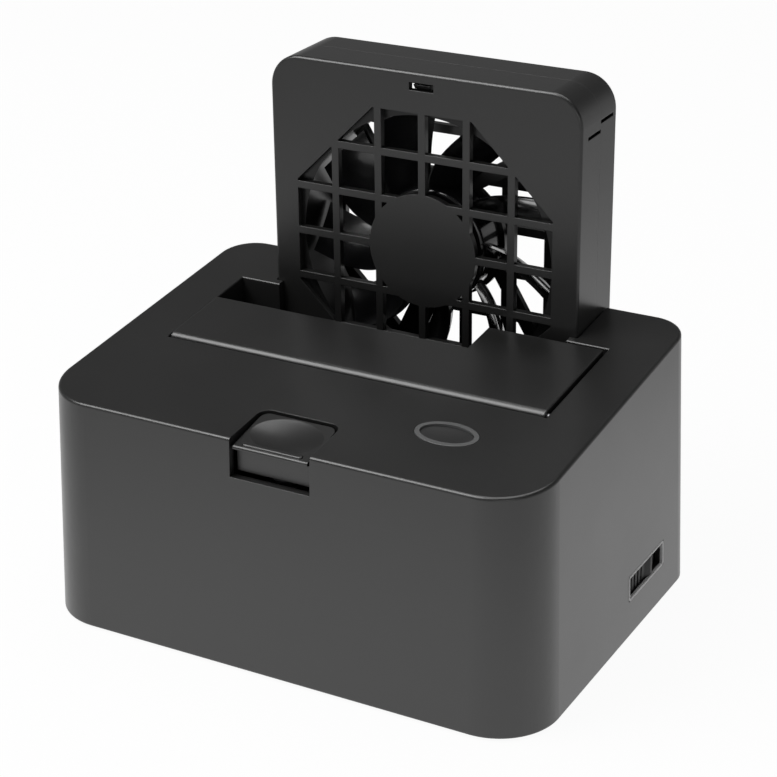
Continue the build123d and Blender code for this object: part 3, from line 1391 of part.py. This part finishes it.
fan_front = facing_front(fan_front_y, fan_z)
with BuildPart() as fan_frame:
    with BuildSketch(fan_front):
        RectangleRounded(fan_size, fan_size, fan_corner_radius)
    extrude(amount=-fan_depth)
    with BuildSketch(fan_front.offset(-flange_depth)):
        RectangleRounded(fan_size + cut_over, fan_size + cut_over, fan_corner_radius)
        Circle(duct_radius + duct_wall, mode=Mode.SUBTRACT)
    extrude(amount=-(fan_depth - 2 * flange_depth), mode=Mode.SUBTRACT)
    with BuildSketch(fan_front):
        Circle(duct_radius)
        with Locations(*fan_corners):
            Circle(fan_hole_radius)
    extrude(amount=-fan_depth, mode=Mode.SUBTRACT)
    with BuildSketch(fan_front.offset(mount_depth - fan_depth)):
        Circle(mount_radius)
        for start_angle, lean_angle, width in struts:
            with PolarLocations(strut_root_radius, 1, start_angle=start_angle):
                Rectangle(strut_length(lean_angle), width, rotation=lean_angle,
                          align=(Align.MIN, Align.CENTER))
    extrude(amount=-mount_depth)
    with BuildSketch(fan_front.offset(mount_depth - fan_depth)):
        Circle(bearing_radius + bearing_tube_wall)
    extrude(amount=bearing_length)
    with BuildSketch(fan_front.offset(mount_depth - fan_depth)):
        Circle(bearing_radius)
    extrude(amount=bearing_length, mode=Mode.SUBTRACT)
fan_frame.part.label = "fan_frame"
export_step(fan_frame.part, "parts/fan_frame.step")

# Fan rotor: hub cup with nine swept blades, each lofted through four sections
blade_count = 9
blade_start = 39.0      # degrees, of the first blade from the right, against the clock
blade_tip_radius = 37.4
hub_radius = 16.8
hub_skin = 1.5
hub_depth = 10.2
hub_edge_radius = 1.2
rotor_inset = 2.6
blade_inset = 7.25      # of the blades' middle behind the frame's front
rotor_front_y = fan_front_y + rotor_inset
blade_middle_y = fan_front_y + blade_inset
blade_stations = [15.6, 23.0, 31.0, 39.2]      # radius of each section
blade_chords = [11.3, 15.0, 16.5, 18.2]
blade_angles = [51.0, 46.5, 41.5, 37.0]        # degrees, against the plane of rotation
blade_sweeps = [0.0, 2.2, 7.0, 14.0]           # of each section's middle, with the clock
blade_cambers = [1.2, 1.6, 1.8, 1.7]
blade_thicknesses = [1.8, 1.5, 1.3, 1.1]
blade_edge = 0.3        # half of the thickness at both edges


def blade_section(radius, chord, angle, sweep, camber, thickness):
    """Cambered section of a blade, square to the radius that it stands on."""
    plane = Plane(origin=(radius, blade_middle_y, fan_z - sweep),
                  x_dir=(0, sin(radians(angle)), -cos(radians(angle))), z_dir=(1, 0, 0))
    half = chord / 2
    with BuildSketch(plane) as section:
        with BuildLine():
            ThreePointArc((-half, blade_edge), (0, camber + thickness / 2), (half, blade_edge))
            Line((half, blade_edge), (half, -blade_edge))
            ThreePointArc((half, -blade_edge), (0, camber - thickness / 2), (-half, -blade_edge))
            Line((-half, -blade_edge), (-half, blade_edge))
        make_face()
    return section.sketch


with BuildPart() as blade:
    for station in zip(blade_stations, blade_chords, blade_angles, blade_sweeps, blade_cambers,
                       blade_thicknesses):
        add(blade_section(*station))
    loft()
    with BuildSketch(fan_front):
        Circle(blade_tip_radius)
    extrude(amount=-fan_depth, mode=Mode.INTERSECT)

fan_axis = Axis((0, fan_front_y, fan_z), (0, 1, 0))
with BuildPart() as fan_rotor:
    with BuildSketch(facing_front(rotor_front_y, fan_z)):
        Circle(hub_radius)
    extrude(amount=-hub_depth)
    fillet(fan_rotor.faces().sort_by(Axis.Y)[0].edges(), radius=hub_edge_radius)
    for blade_number in range(blade_count):
        add(blade.part.rotate(fan_axis, 360 * blade_number / blade_count - blade_start))
    with BuildSketch(facing_front(rotor_front_y + hub_skin, fan_z)):
        Circle(hub_radius - hub_skin)
    extrude(amount=-fan_depth, mode=Mode.SUBTRACT)
    # Seat of the shaft in the hub
    with BuildSketch(facing_front(rotor_front_y + hub_skin, fan_z)):
        Circle(bearing_radius)
    extrude(amount=-hub_skin / 2)
    with BuildSketch(facing_front(rotor_front_y + hub_skin / 2, fan_z)):
        Circle(shaft_radius)
    extrude(amount=-2 * hub_skin, mode=Mode.SUBTRACT)
fan_rotor.part.label = "fan_rotor"
export_step(fan_rotor.part, "parts/fan_rotor.step")

# Motor inside the hub: shaft, magnet ring, bearing and wound core
bearing_front_y = fan_back_y - mount_depth - bearing_length + fit_gap
magnet_depth = 6.4
magnet_radius = hub_radius - hub_skin
magnet_wall = 1.6
magnet_y = rotor_front_y + hub_skin + fit_gap
core_radius = 12.6
core_depth = 5.0
core_tooth_width = 3.0
core_tip_depth = 1.6
core_root_radius = 6.2
core_teeth = 4
with BuildPart() as fan_shaft:
    with BuildSketch(facing_front(rotor_front_y + hub_skin / 2, fan_z)):
        Circle(shaft_radius)
    extrude(amount=-(fan_back_y - mount_depth - fit_gap - rotor_front_y - hub_skin / 2))
fan_shaft.part.label = "fan_shaft"
export_step(fan_shaft.part, "parts/fan_shaft.step")

with BuildPart() as fan_magnet_ring:
    with BuildSketch(facing_front(magnet_y, fan_z)):
        Circle(magnet_radius)
        Circle(magnet_radius - magnet_wall, mode=Mode.SUBTRACT)
    extrude(amount=-magnet_depth)
fan_magnet_ring.part.label = "fan_magnet_ring"
export_step(fan_magnet_ring.part, "parts/fan_magnet_ring.step")

with BuildPart() as fan_bearing:
    with BuildSketch(facing_front(bearing_front_y, fan_z)):
        Circle(bearing_radius)
        Circle(shaft_radius + pin_gap, mode=Mode.SUBTRACT)
    extrude(amount=-(bearing_length - fit_gap))
fan_bearing.part.label = "fan_bearing"
export_step(fan_bearing.part, "parts/fan_bearing.step")

with BuildPart() as fan_core:
    with BuildSketch(facing_front(magnet_y + fit_gap, fan_z)):
        Circle(core_radius)
        Circle(core_radius - core_tip_depth, mode=Mode.SUBTRACT)
        with PolarLocations(core_radius, core_teeth, start_angle=180 / core_teeth):
            Rectangle(2 * core_tooth_width, core_tooth_width, mode=Mode.SUBTRACT)
        Circle(core_root_radius)
        with PolarLocations(core_radius / 2, core_teeth):
            Rectangle(core_radius - core_tip_depth / 2, core_tooth_width)
        Circle(bearing_radius + bearing_tube_wall, mode=Mode.SUBTRACT)
    extrude(amount=-core_depth)
fan_core.part.label = "fan_core"
export_step(fan_core.part, "parts/fan_core.step")

# Screws of the fan and of the fan module
fan_screw_head_radius = 3.0
fan_screw_head_height = 1.7
fan_screw_radius = 2.1
fan_screw_bite = 8.0
fan_screws = pan_screws(fan_cover_plane.offset(-recess_depth), fan_corners, fan_screw_head_radius,
                        fan_screw_head_height, fan_screw_radius,
                        module_back_y - recess_depth - fan_back_y + fan_screw_bite)
fan_screws.label = "fan_screws"
export_step(fan_screws, "parts/fan_screws.step")

module_screws = pan_screws(facing_down(module_bottom_z - rib_wall), flipped(module_screw_places),
                           screw_head_radius, screw_head_height, screw_shank_radius,
                           rib_wall + module_wall + module_boss_height - 2 * fit_gap)
module_screws.label = "module_screws"
export_step(module_screws, "parts/module_screws.step")
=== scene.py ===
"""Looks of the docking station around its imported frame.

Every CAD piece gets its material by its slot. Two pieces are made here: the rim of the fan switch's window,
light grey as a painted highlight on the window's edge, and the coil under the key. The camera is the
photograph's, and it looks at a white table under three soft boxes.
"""

import json
import math

import bpy
from mathutils import Matrix, Vector


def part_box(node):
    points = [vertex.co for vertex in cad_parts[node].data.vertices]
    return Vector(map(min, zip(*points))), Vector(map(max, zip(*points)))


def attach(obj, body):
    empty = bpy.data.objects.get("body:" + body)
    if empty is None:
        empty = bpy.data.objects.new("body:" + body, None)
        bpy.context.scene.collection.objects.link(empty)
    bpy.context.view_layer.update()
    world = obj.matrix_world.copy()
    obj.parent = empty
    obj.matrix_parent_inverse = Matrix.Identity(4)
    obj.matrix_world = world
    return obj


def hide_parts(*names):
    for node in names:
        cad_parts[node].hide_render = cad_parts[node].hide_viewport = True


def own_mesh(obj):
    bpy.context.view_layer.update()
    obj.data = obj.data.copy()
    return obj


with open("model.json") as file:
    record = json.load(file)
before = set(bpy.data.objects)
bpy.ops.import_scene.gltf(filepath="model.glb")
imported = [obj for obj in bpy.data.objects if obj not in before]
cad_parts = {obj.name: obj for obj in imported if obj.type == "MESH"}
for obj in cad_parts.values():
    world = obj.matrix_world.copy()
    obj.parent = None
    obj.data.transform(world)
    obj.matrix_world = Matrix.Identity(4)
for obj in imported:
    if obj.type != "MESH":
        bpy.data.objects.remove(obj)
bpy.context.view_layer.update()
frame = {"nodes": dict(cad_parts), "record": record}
nodes = frame["nodes"]


# Helpers for shader nodes
def empty_tree(owner):
    """Node tree of a material or world, without the nodes that it starts with."""
    owner.use_nodes = True
    owner.node_tree.nodes.clear()
    return owner.node_tree


def add_node(tree, kind, inputs=None, **settings):
    """Node whose inputs, by name or place, are joined to a socket or set to a value."""
    node = tree.nodes.new(kind)
    for setting, value in settings.items():
        setattr(node, setting, value)
    for key, value in (inputs or {}).items():
        if isinstance(value, bpy.types.NodeSocket):
            tree.links.new(value, node.inputs[key])
        else:
            node.inputs[key].default_value = value
    return node


def add_place(tree):
    """Place on the object, in its own metres."""
    return add_node(tree, "ShaderNodeTexCoord").outputs["Object"]


def add_noise(tree, place, scale, detail, rough):
    inputs = {"Vector": place, "Scale": scale, "Detail": detail, "Roughness": rough}
    return add_node(tree, "ShaderNodeTexNoise", inputs).outputs["Fac"]


def add_range(tree, value, low, high, out_low, out_high):
    """The value's place between low and high, carried over to out_low and out_high."""
    inputs = {"Value": value, "From Min": low, "From Max": high, "To Min": out_low, "To Max": out_high}
    return add_node(tree, "ShaderNodeMapRange", inputs).outputs["Result"]


def add_math(tree, operation, first, second):
    return add_node(tree, "ShaderNodeMath", {0: first, 1: second}, operation=operation).outputs["Value"]


def add_color_mix(tree, factor, first, second):
    inputs = {"Factor": factor, "A": (*first, 1.0), "B": (*second, 1.0)}
    return add_node(tree, "ShaderNodeMix", inputs, data_type="RGBA").outputs["Result"]


def add_shader_mix(tree, factor, first, second):
    return add_node(tree, "ShaderNodeMixShader", {"Fac": factor, 1: first, 2: second}).outputs["Shader"]


def add_bump(tree, height, strength, depth, normal=None):
    """Normal of a surface with this relief, laid over the normal given."""
    inputs = {"Height": height, "Strength": strength, "Distance": depth}
    if normal is not None:
        inputs["Normal"] = normal
    return add_node(tree, "ShaderNodeBump", inputs).outputs["Normal"]


def add_surface(tree, inputs):
    """Principled shader with these inputs, joined to the material's output."""
    shader = add_node(tree, "ShaderNodeBsdfPrincipled", inputs)
    add_node(tree, "ShaderNodeOutputMaterial", {"Surface": shader.outputs["BSDF"]})


# Materials: broad noise mottles the plastic, fine noise grains it, streaks mark the metal
MOTTLE = {"scale": 34.0, "detail": 4.0, "rough": 0.55}
GRAIN = {"detail": 2.0, "rough": 0.6}
STREAK = {"scale": 900.0, "detail": 3.0, "rough": 0.6}
NOISE_LOW = 0.3             # the gloss changes between these values of the noise
NOISE_HIGH = 0.7
PLASTIC_GLOSS_SPREAD = 0.02
GRAIN_DEPTH = 0.00004
COAT_ROUGHNESS = 0.08
METAL_LIGHT_SHARE = 1.06
METAL_DARK_SHARE = 0.9
METAL_SMOOTH_SHARE = 0.8
METAL_ROUGH_SHARE = 1.2
METAL_GRAIN = 0.15
METAL_GRAIN_DEPTH = 0.00002
EDGE_ROUND = 0.00025        # moulded edges catch the light as if rounded by this
EDGE_SAMPLES = 4
# Painted shade: an occlusion test cuts the sheen of the outside plastic in gaps, with these settings
CREVICE_REACH = 0.0015      # gaps darken where a wall stands nearer than this
CREVICE_SAMPLES = 8
CREVICE_SHUT = 0.35         # the sheen returns between these shares of open surround
CREVICE_OPEN = 0.85
CREVICE_SHEEN = 0.1         # share of the sheen that is left in the deepest gap
PLAIN_SHEEN = 0.5           # specular level of an open face
materials = {}


def grey(level):
    return (level, level, level)


def scaled(color, share):
    return tuple(min(1.0, channel * share) for channel in color)


def material_tree(name):
    """Empty node tree of a new material, which is kept under its name."""
    materials[name] = bpy.data.materials.new(name)
    return empty_tree(materials[name])


def add_edge_normal(tree):
    """Normal that turns over an edge as if the edge were rounded."""
    edge = add_node(tree, "ShaderNodeBevel", {"Radius": EDGE_ROUND}, samples=EDGE_SAMPLES)
    return edge.outputs["Normal"]


def add_painted_gap_shade(tree):
    """Specular level that falls in a gap: painted shade, from an occlusion test."""
    crevice = add_node(tree, "ShaderNodeAmbientOcclusion", {"Distance": CREVICE_REACH},
                       samples=CREVICE_SAMPLES)
    openness = add_range(tree, crevice.outputs["AO"], CREVICE_SHUT, CREVICE_OPEN, CREVICE_SHEEN, 1.0)
    return add_math(tree, "MULTIPLY", openness, PLAIN_SHEEN)


def plastic(name, color, roughness, grain=0.25, grain_scale=2600.0, spread=0.08, ior=1.5,
            coat=0.0, moulded=False):
    """Plastic: fine spark-eroded grain, faint flow mottling, uneven gloss.

    The outside plastic also gets soft edges, and painted shade that darkens its sheen in gaps.
    """
    tree = material_tree(name)
    place = add_place(tree)
    mottle = add_noise(tree, place, **MOTTLE)
    inputs = {
        "Base Color": add_color_mix(tree, mottle, scaled(color, 1.0 - spread), scaled(color, 1.0 + spread)),
        "Roughness": add_range(tree, mottle, NOISE_LOW, NOISE_HIGH,
                               roughness - PLASTIC_GLOSS_SPREAD, roughness + PLASTIC_GLOSS_SPREAD),
        "IOR": ior,
        "Coat Weight": coat,
        "Coat Roughness": COAT_ROUGHNESS,
    }
    if grain > 0:
        fine = add_noise(tree, place, scale=grain_scale, **GRAIN)
        below = add_edge_normal(tree) if moulded else None
        inputs["Normal"] = add_bump(tree, fine, grain, GRAIN_DEPTH, below)
    # Painted shade: the sheen falls in gaps
    if moulded:
        inputs["Specular IOR Level"] = add_painted_gap_shade(tree)
    add_surface(tree, inputs)


def metal(name, color, roughness, stretch=(1.0, 1.0, 1.0)):
    """Metal with drawn or rolled streaks, stretched along the axes with the small values."""
    tree = material_tree(name)
    stretched = add_node(tree, "ShaderNodeMapping", {"Vector": add_place(tree), "Scale": stretch})
    streak = add_noise(tree, stretched.outputs["Vector"], **STREAK)
    add_surface(tree, {
        "Base Color": add_color_mix(tree, streak, scaled(color, METAL_DARK_SHARE),
                                    scaled(color, METAL_LIGHT_SHARE)),
        "Metallic": 1.0,
        "Roughness": add_range(tree, streak, NOISE_LOW, NOISE_HIGH,
                               roughness * METAL_SMOOTH_SHARE, roughness * METAL_ROUGH_SHARE),
        "Normal": add_bump(tree, streak, METAL_GRAIN, METAL_GRAIN_DEPTH),
    })


# Outside: shell, flap and buttons mirror more than plain plastic does
SHELL_BLACK = (0.013, 0.013, 0.0128)
SHELL_IOR = 1.68
plastic("shell", SHELL_BLACK, roughness=0.30, grain=0.3, ior=SHELL_IOR, moulded=True)
plastic("flap_plastic", SHELL_BLACK, roughness=0.30, grain=0.3, ior=SHELL_IOR, moulded=True)
plastic("button_plastic", grey(0.014), roughness=0.40, grain=0.15, ior=SHELL_IOR, moulded=True)
# Painted shade: the switch knob is darker and mirrors less than the shell, for the shade in its recess
plastic("knob_painted_shade", grey(0.010), roughness=0.50, grain=0.3, ior=1.35)
# Painted highlight: the light grey of the window rim stands in for the light that its edge catches
plastic("rim_painted_highlight", grey(0.45), roughness=0.35, grain=0.1)
plastic("ring_clear", (0.105, 0.106, 0.106), roughness=0.30, grain=0.05)
plastic("rubber", grey(0.020), roughness=0.75, grain=0.5, grain_scale=1500.0)

# Fan: glossy black, so that the blades catch the light in the duct
plastic("fan_plastic", grey(0.006), roughness=0.30, grain=0.1)
plastic("rotor_plastic", (0.006, 0.006, 0.0065), roughness=0.18, grain=0.05, coat=0.6)
plastic("magnet", (0.035, 0.032, 0.030), roughness=0.55)
metal("bearing_bronze", (0.52, 0.36, 0.20), roughness=0.45)
metal("winding", (0.62, 0.28, 0.10), roughness=0.32, stretch=(1.0, 0.1, 1.0))
metal("fan_screw", (0.07, 0.07, 0.075), roughness=0.35)

# Boards, sockets and hardware
plastic("board", (0.010, 0.075, 0.032), roughness=0.35, grain=0.1, spread=0.15)
plastic("connector_plastic", grey(0.012), roughness=0.45)
plastic("chip_plastic", (0.020, 0.020, 0.021), roughness=0.55, grain=0.5)
plastic("tongue_plastic", (0.55, 0.56, 0.58), roughness=0.40)
plastic("lamp_clear", (0.70, 0.76, 0.85), roughness=0.15, grain=0.0)
metal("screw_steel", (0.55, 0.55, 0.56), roughness=0.30)
metal("contact_gold", (0.83, 0.60, 0.24), roughness=0.22)
metal("can_metal", (0.72, 0.72, 0.73), roughness=0.28)
metal("port_metal", (0.66, 0.66, 0.67), roughness=0.26, stretch=(0.2, 1.0, 1.0))
metal("pin_metal", (0.30, 0.30, 0.31), roughness=0.32)
metal("spring_steel", (0.16, 0.16, 0.165), roughness=0.38)

# Every CAD piece wears the material of its slot, and the knob one of its own: darker, with less sheen, as
# painted shade in its recess
own_looks = {"fan_switch_knob": "knob_painted_shade"}
slot_of = {entry["node"]: entry["material_slot"] for entry in frame["record"]["subparts"]}
for name, obj in nodes.items():
    look = materials[own_looks.get(name, slot_of[name])]
    if not obj.material_slots:
        obj.data.materials.append(look)
    for material_slot in obj.material_slots:
        material_slot.material = look


# Helpers for objects
def add_object(name, data):
    """Object with this data, linked into the scene."""
    obj = bpy.data.objects.new(name, data)
    bpy.context.scene.collection.objects.link(obj)
    return obj


def add_mesh(name, points, faces, look, smooth=True):
    """Mesh object with these points and faces and one material."""
    mesh = bpy.data.meshes.new(name)
    mesh.from_pydata(points, [], faces)
    mesh.polygons.foreach_set("use_smooth", [smooth] * len(mesh.polygons))
    mesh.materials.append(look)
    return add_object(name, mesh)


# Rim of the fan switch's window: a thin frame that lines the opening, light grey as a painted highlight on
# the window's edge
WINDOW_LENGTH = 0.0240
WINDOW_HEIGHT = 0.0076
RIM_WIDTH = 0.00075
RIM_RISE = 0.00012          # the rim's crown stands this far out of the wall
RIM_SINK = 0.0007           # and its foot this far inside
RIM_CORNER = 0.0008
RIM_ARC_STEPS = 8
RIM_PROFILE_STEPS = 10
RIM_SHARP_ANGLE = math.radians(50.0)
WALL_REACH = 0.008          # the wall is met this far above and below the window's middle


def wall_point(y, z):
    """Point of the housing's right wall at this place, met from outside."""
    housing = nodes["top_housing"]
    inverse = housing.matrix_world.inverted()
    start = inverse @ Vector((2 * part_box("top_housing")[1][0], y, z))
    inward = inverse.to_3x3() @ Vector((-1.0, 0.0, 0.0))
    place = housing.ray_cast(start, inward)[1]
    return housing.matrix_world @ place


def rounded_path(half_length, half_height):
    """Points of a rounded rectangle, each with its outward direction."""
    path = []
    for quarter in range(4):
        middle = math.radians(90 * quarter + 45)
        corner = (math.copysign(half_length - RIM_CORNER, math.cos(middle)),
                  math.copysign(half_height - RIM_CORNER, math.sin(middle)))
        for step in range(RIM_ARC_STEPS + 1):
            angle = math.radians(90 * (quarter + step / RIM_ARC_STEPS))
            outward = (math.cos(angle), math.sin(angle))
            path.append((corner[0] + RIM_CORNER * outward[0], corner[1] + RIM_CORNER * outward[1], outward))
    return path


def rim_profile():
    """Section of the rim as places across and above the wall: a low crown on a straight foot."""
    profile = []
    for step in range(RIM_PROFILE_STEPS + 1):
        angle = math.pi * step / RIM_PROFILE_STEPS
        profile.append((-math.cos(angle) * RIM_WIDTH / 2, math.sin(angle) * RIM_RISE))
    profile.append((RIM_WIDTH / 2, -RIM_SINK))
    profile.append((-RIM_WIDTH / 2, -RIM_SINK))
    return profile


def window_rim():
    """The profile swept round the window, square to the leaning wall."""
    low_corner, high_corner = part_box("fan_switch_case")
    window_y = (low_corner[1] + high_corner[1]) / 2
    window_z = (low_corner[2] + high_corner[2]) / 2
    low = wall_point(window_y, window_z - WALL_REACH)
    high = wall_point(window_y, window_z + WALL_REACH)
    middle = (low + high) / 2
    along = Vector((0.0, 1.0, 0.0))
    upward = (high - low).normalized()
    outside = along.cross(upward)
    path = rounded_path((WINDOW_LENGTH - RIM_WIDTH) / 2, (WINDOW_HEIGHT - RIM_WIDTH) / 2)
    profile = rim_profile()
    points = []
    for y, z, outward in path:
        for across, rise in profile:
            points.append(middle + along * (y + across * outward[0])
                          + upward * (z + across * outward[1]) + outside * rise)
    count = len(profile)
    faces = []
    for ring in range(len(path)):
        here = ring * count
        there = (ring + 1) % len(path) * count
        for place in range(count):
            following = (place + 1) % count
            faces.append((here + place, there + place, there + following, here + following))
    rim = add_mesh("window_rim", points, faces, materials["rim_painted_highlight"])
    rim.data.set_sharp_from_angle(angle=RIM_SHARP_ANGLE)
    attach(rim, "housing")


window_rim()

# Return spring of the key: a coil under the key
SPRING_WIRE = 0.0007
SPRING_TURNS = 7
SPRING_TURN_STEPS = 24
SPRING_RING_STEPS = 8


def key_spring():
    """The wire's ring of points, carried round and up, with a face on each end."""
    low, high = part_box("eject_spring")
    middle_x = (low[0] + high[0]) / 2
    middle_y = (low[1] + high[1]) / 2
    wire_radius = SPRING_WIRE / 2
    coil_radius = (high[0] - low[0]) / 2 - wire_radius
    steps = SPRING_TURNS * SPRING_TURN_STEPS
    points = []
    for step in range(steps + 1):
        turn = 2 * math.pi * step / SPRING_TURN_STEPS
        height = low[2] + wire_radius + (high[2] - low[2] - SPRING_WIRE) * step / steps
        for side in range(SPRING_RING_STEPS):
            angle = 2 * math.pi * side / SPRING_RING_STEPS
            reach = coil_radius + wire_radius * math.cos(angle)
            points.append((middle_x + reach * math.cos(turn), middle_y + reach * math.sin(turn),
                           height + wire_radius * math.sin(angle)))
    faces = [tuple(range(SPRING_RING_STEPS)),
             tuple(steps * SPRING_RING_STEPS + side for side in reversed(range(SPRING_RING_STEPS)))]
    for step in range(steps):
        here = step * SPRING_RING_STEPS
        there = here + SPRING_RING_STEPS
        for side in range(SPRING_RING_STEPS):
            following = (side + 1) % SPRING_RING_STEPS
            faces.append((here + side, here + following, there + following, there + side))
    spring = add_mesh("key_spring", points, faces, materials["spring_steel"])
    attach(spring, "housing")
    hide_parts("eject_spring")
    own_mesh(spring)


key_spring()

# Camera: fitted to the photograph together with the base's outline
VIEW_AZIMUTH = math.radians(28.84)
VIEW_ELEVATION = math.radians(23.99)
VIEW_ROLL = math.radians(-0.65)
VIEW_DISTANCE = 0.60019
VIEW_OFFSET = (0.00581, 0.01536)        # the eye's shift to the right and up
LOOK_AT = Vector((0.0, -0.00035, 0.0508))
FOCAL_PX = 2212.78
IMAGE_PX = 777.0
PRINCIPAL_PX = (389.87, 370.5)
SENSOR_WIDTH = 36.0
CLIP_NEAR = 0.01
CLIP_FAR = 20.0


def fitted_camera():
    back = Vector((math.sin(VIEW_AZIMUTH) * math.cos(VIEW_ELEVATION),
                   -math.cos(VIEW_AZIMUTH) * math.cos(VIEW_ELEVATION),
                   math.sin(VIEW_ELEVATION)))
    level = (-back).cross(Vector((0.0, 0.0, 1.0))).normalized()
    upright = level.cross(-back)
    right = level * math.cos(VIEW_ROLL) + upright * math.sin(VIEW_ROLL)
    up = upright * math.cos(VIEW_ROLL) - level * math.sin(VIEW_ROLL)
    eye = LOOK_AT + right * VIEW_OFFSET[0] + up * VIEW_OFFSET[1] + back * VIEW_DISTANCE
    data = bpy.data.cameras.new("camera")
    data.sensor_width = SENSOR_WIDTH
    data.lens = FOCAL_PX / IMAGE_PX * SENSOR_WIDTH
    data.shift_x = (IMAGE_PX / 2 - PRINCIPAL_PX[0]) / IMAGE_PX
    data.shift_y = (PRINCIPAL_PX[1] - IMAGE_PX / 2) / IMAGE_PX
    data.clip_start = CLIP_NEAR
    data.clip_end = CLIP_FAR
    camera = add_object("camera", data)
    camera.matrix_world = Matrix((
        (right.x, up.x, back.x, eye.x),
        (right.y, up.y, back.y, eye.y),
        (right.z, up.z, back.z, eye.z),
        (0.0, 0.0, 0.0, 1.0)))
    bpy.context.scene.camera = camera


fitted_camera()

# Light: pale surround, white table, soft boxes
WHITE = (1.0, 1.0, 1.0, 1.0)
SEEN_RAYS = ("Is Camera Ray", "Is Transmission Ray")
MIRRORED_RAYS = ("Is Glossy Ray",)
SKY_LOW = 0.0               # the surround dims between these rises of the direction
SKY_HIGH = 0.34
SKY_BRIGHT = 0.45
SKY_DIM = 0.10
FLOOR_HALF = 8.0
FLOOR_PALE = (0.85, 0.85, 0.85, 1.0)
FLOOR_WHITE = 0.95          # share of plain white in what is seen, the rest shows shadow
# Painted pool of light: the floor that the plastic mirrors glows brightest near the object
FLOOR_NEAR = 0.14           # the white that the plastic mirrors fades between these
FLOOR_FAR = 0.42
FLOOR_FAR_WHITE = 0.42
LAMP_TARGET = Vector((0.0, 0.0, 0.05))
SOFT_BOXES = (
    {"name": "key_box", "place": (-0.62, -0.57, 1.15), "width": 0.9, "height": 0.9, "power": 14.0},
    {"name": "top_box", "place": (0.0, 0.15, 1.4), "width": 1.1, "height": 1.1, "power": 8.0},
    {"name": "front_box", "place": (0.75, -1.1, 0.4), "width": 0.8, "height": 0.5, "power": 1.0},
)


def add_ray_test(tree, kinds):
    """1 for rays of any of these kinds, and 0 for others."""
    tests = add_node(tree, "ShaderNodeLightPath").outputs
    found = tests[kinds[0]]
    for kind in kinds[1:]:
        found = add_math(tree, "MAXIMUM", found, tests[kind])
    return found


def surround():
    """White to the camera. To what mirrors it, bright near the horizon and dim above."""
    world = bpy.data.worlds.new("surround")
    bpy.context.scene.world = world
    tree = empty_tree(world)
    direction = add_node(tree, "ShaderNodeTexCoord").outputs["Generated"]
    rise = add_node(tree, "ShaderNodeSeparateXYZ", {"Vector": direction}).outputs["Z"]
    strength = add_range(tree, rise, SKY_LOW, SKY_HIGH, SKY_BRIGHT, SKY_DIM)
    light = add_node(tree, "ShaderNodeBackground", {"Color": WHITE, "Strength": strength})
    white = add_node(tree, "ShaderNodeBackground", {"Color": WHITE, "Strength": 1.0})
    surface = add_shader_mix(tree, add_ray_test(tree, SEEN_RAYS),
                             light.outputs["Background"], white.outputs["Background"])
    add_node(tree, "ShaderNodeOutputWorld", {"Surface": surface})


def floor_material():
    """Nearly plain white that keeps a faint shadow; to mirrors it shows a painted pool of light that fades
    outward.
    """
    tree = material_tree("floor")
    shadowed = add_node(tree, "ShaderNodeBsdfDiffuse", {"Color": FLOOR_PALE})
    distance = add_node(tree, "ShaderNodeVectorMath", {0: add_place(tree)}, operation="LENGTH")
    painted_light_pool = add_range(tree, distance.outputs["Value"], FLOOR_NEAR, FLOOR_FAR, 1.0, FLOOR_FAR_WHITE)
    strength = add_math(tree, "MAXIMUM", painted_light_pool, add_ray_test(tree, SEEN_RAYS))
    white = add_node(tree, "ShaderNodeEmission", {"Color": WHITE, "Strength": strength})
    shown = add_ray_test(tree, SEEN_RAYS + MIRRORED_RAYS)
    surface = add_shader_mix(tree, add_math(tree, "MULTIPLY", shown, FLOOR_WHITE),
                             shadowed.outputs["BSDF"], white.outputs["Emission"])
    add_node(tree, "ShaderNodeOutputMaterial", {"Surface": surface})


def white_floor():
    floor_material()
    corners = [(-FLOOR_HALF, -FLOOR_HALF, 0.0), (FLOOR_HALF, -FLOOR_HALF, 0.0),
               (FLOOR_HALF, FLOOR_HALF, 0.0), (-FLOOR_HALF, FLOOR_HALF, 0.0)]
    floor = add_mesh("floor", corners, [(0, 1, 2, 3)], materials["floor"], smooth=False)


def soft_box(name, place, width, height, power):
    """Rectangular lamp that faces the object."""
    data = bpy.data.lights.new(name, "AREA")
    data.shape = "RECTANGLE"
    data.size = width
    data.size_y = height
    data.energy = power
    lamp = add_object(name, data)
    lamp.location = place
    direction = LAMP_TARGET - Vector(place)
    lamp.rotation_euler = direction.to_track_quat("-Z", "Y").to_euler()


surround()
white_floor()
for box in SOFT_BOXES:
    soft_box(**box)

scene = bpy.context.scene
scene.view_settings.view_transform = "Standard"
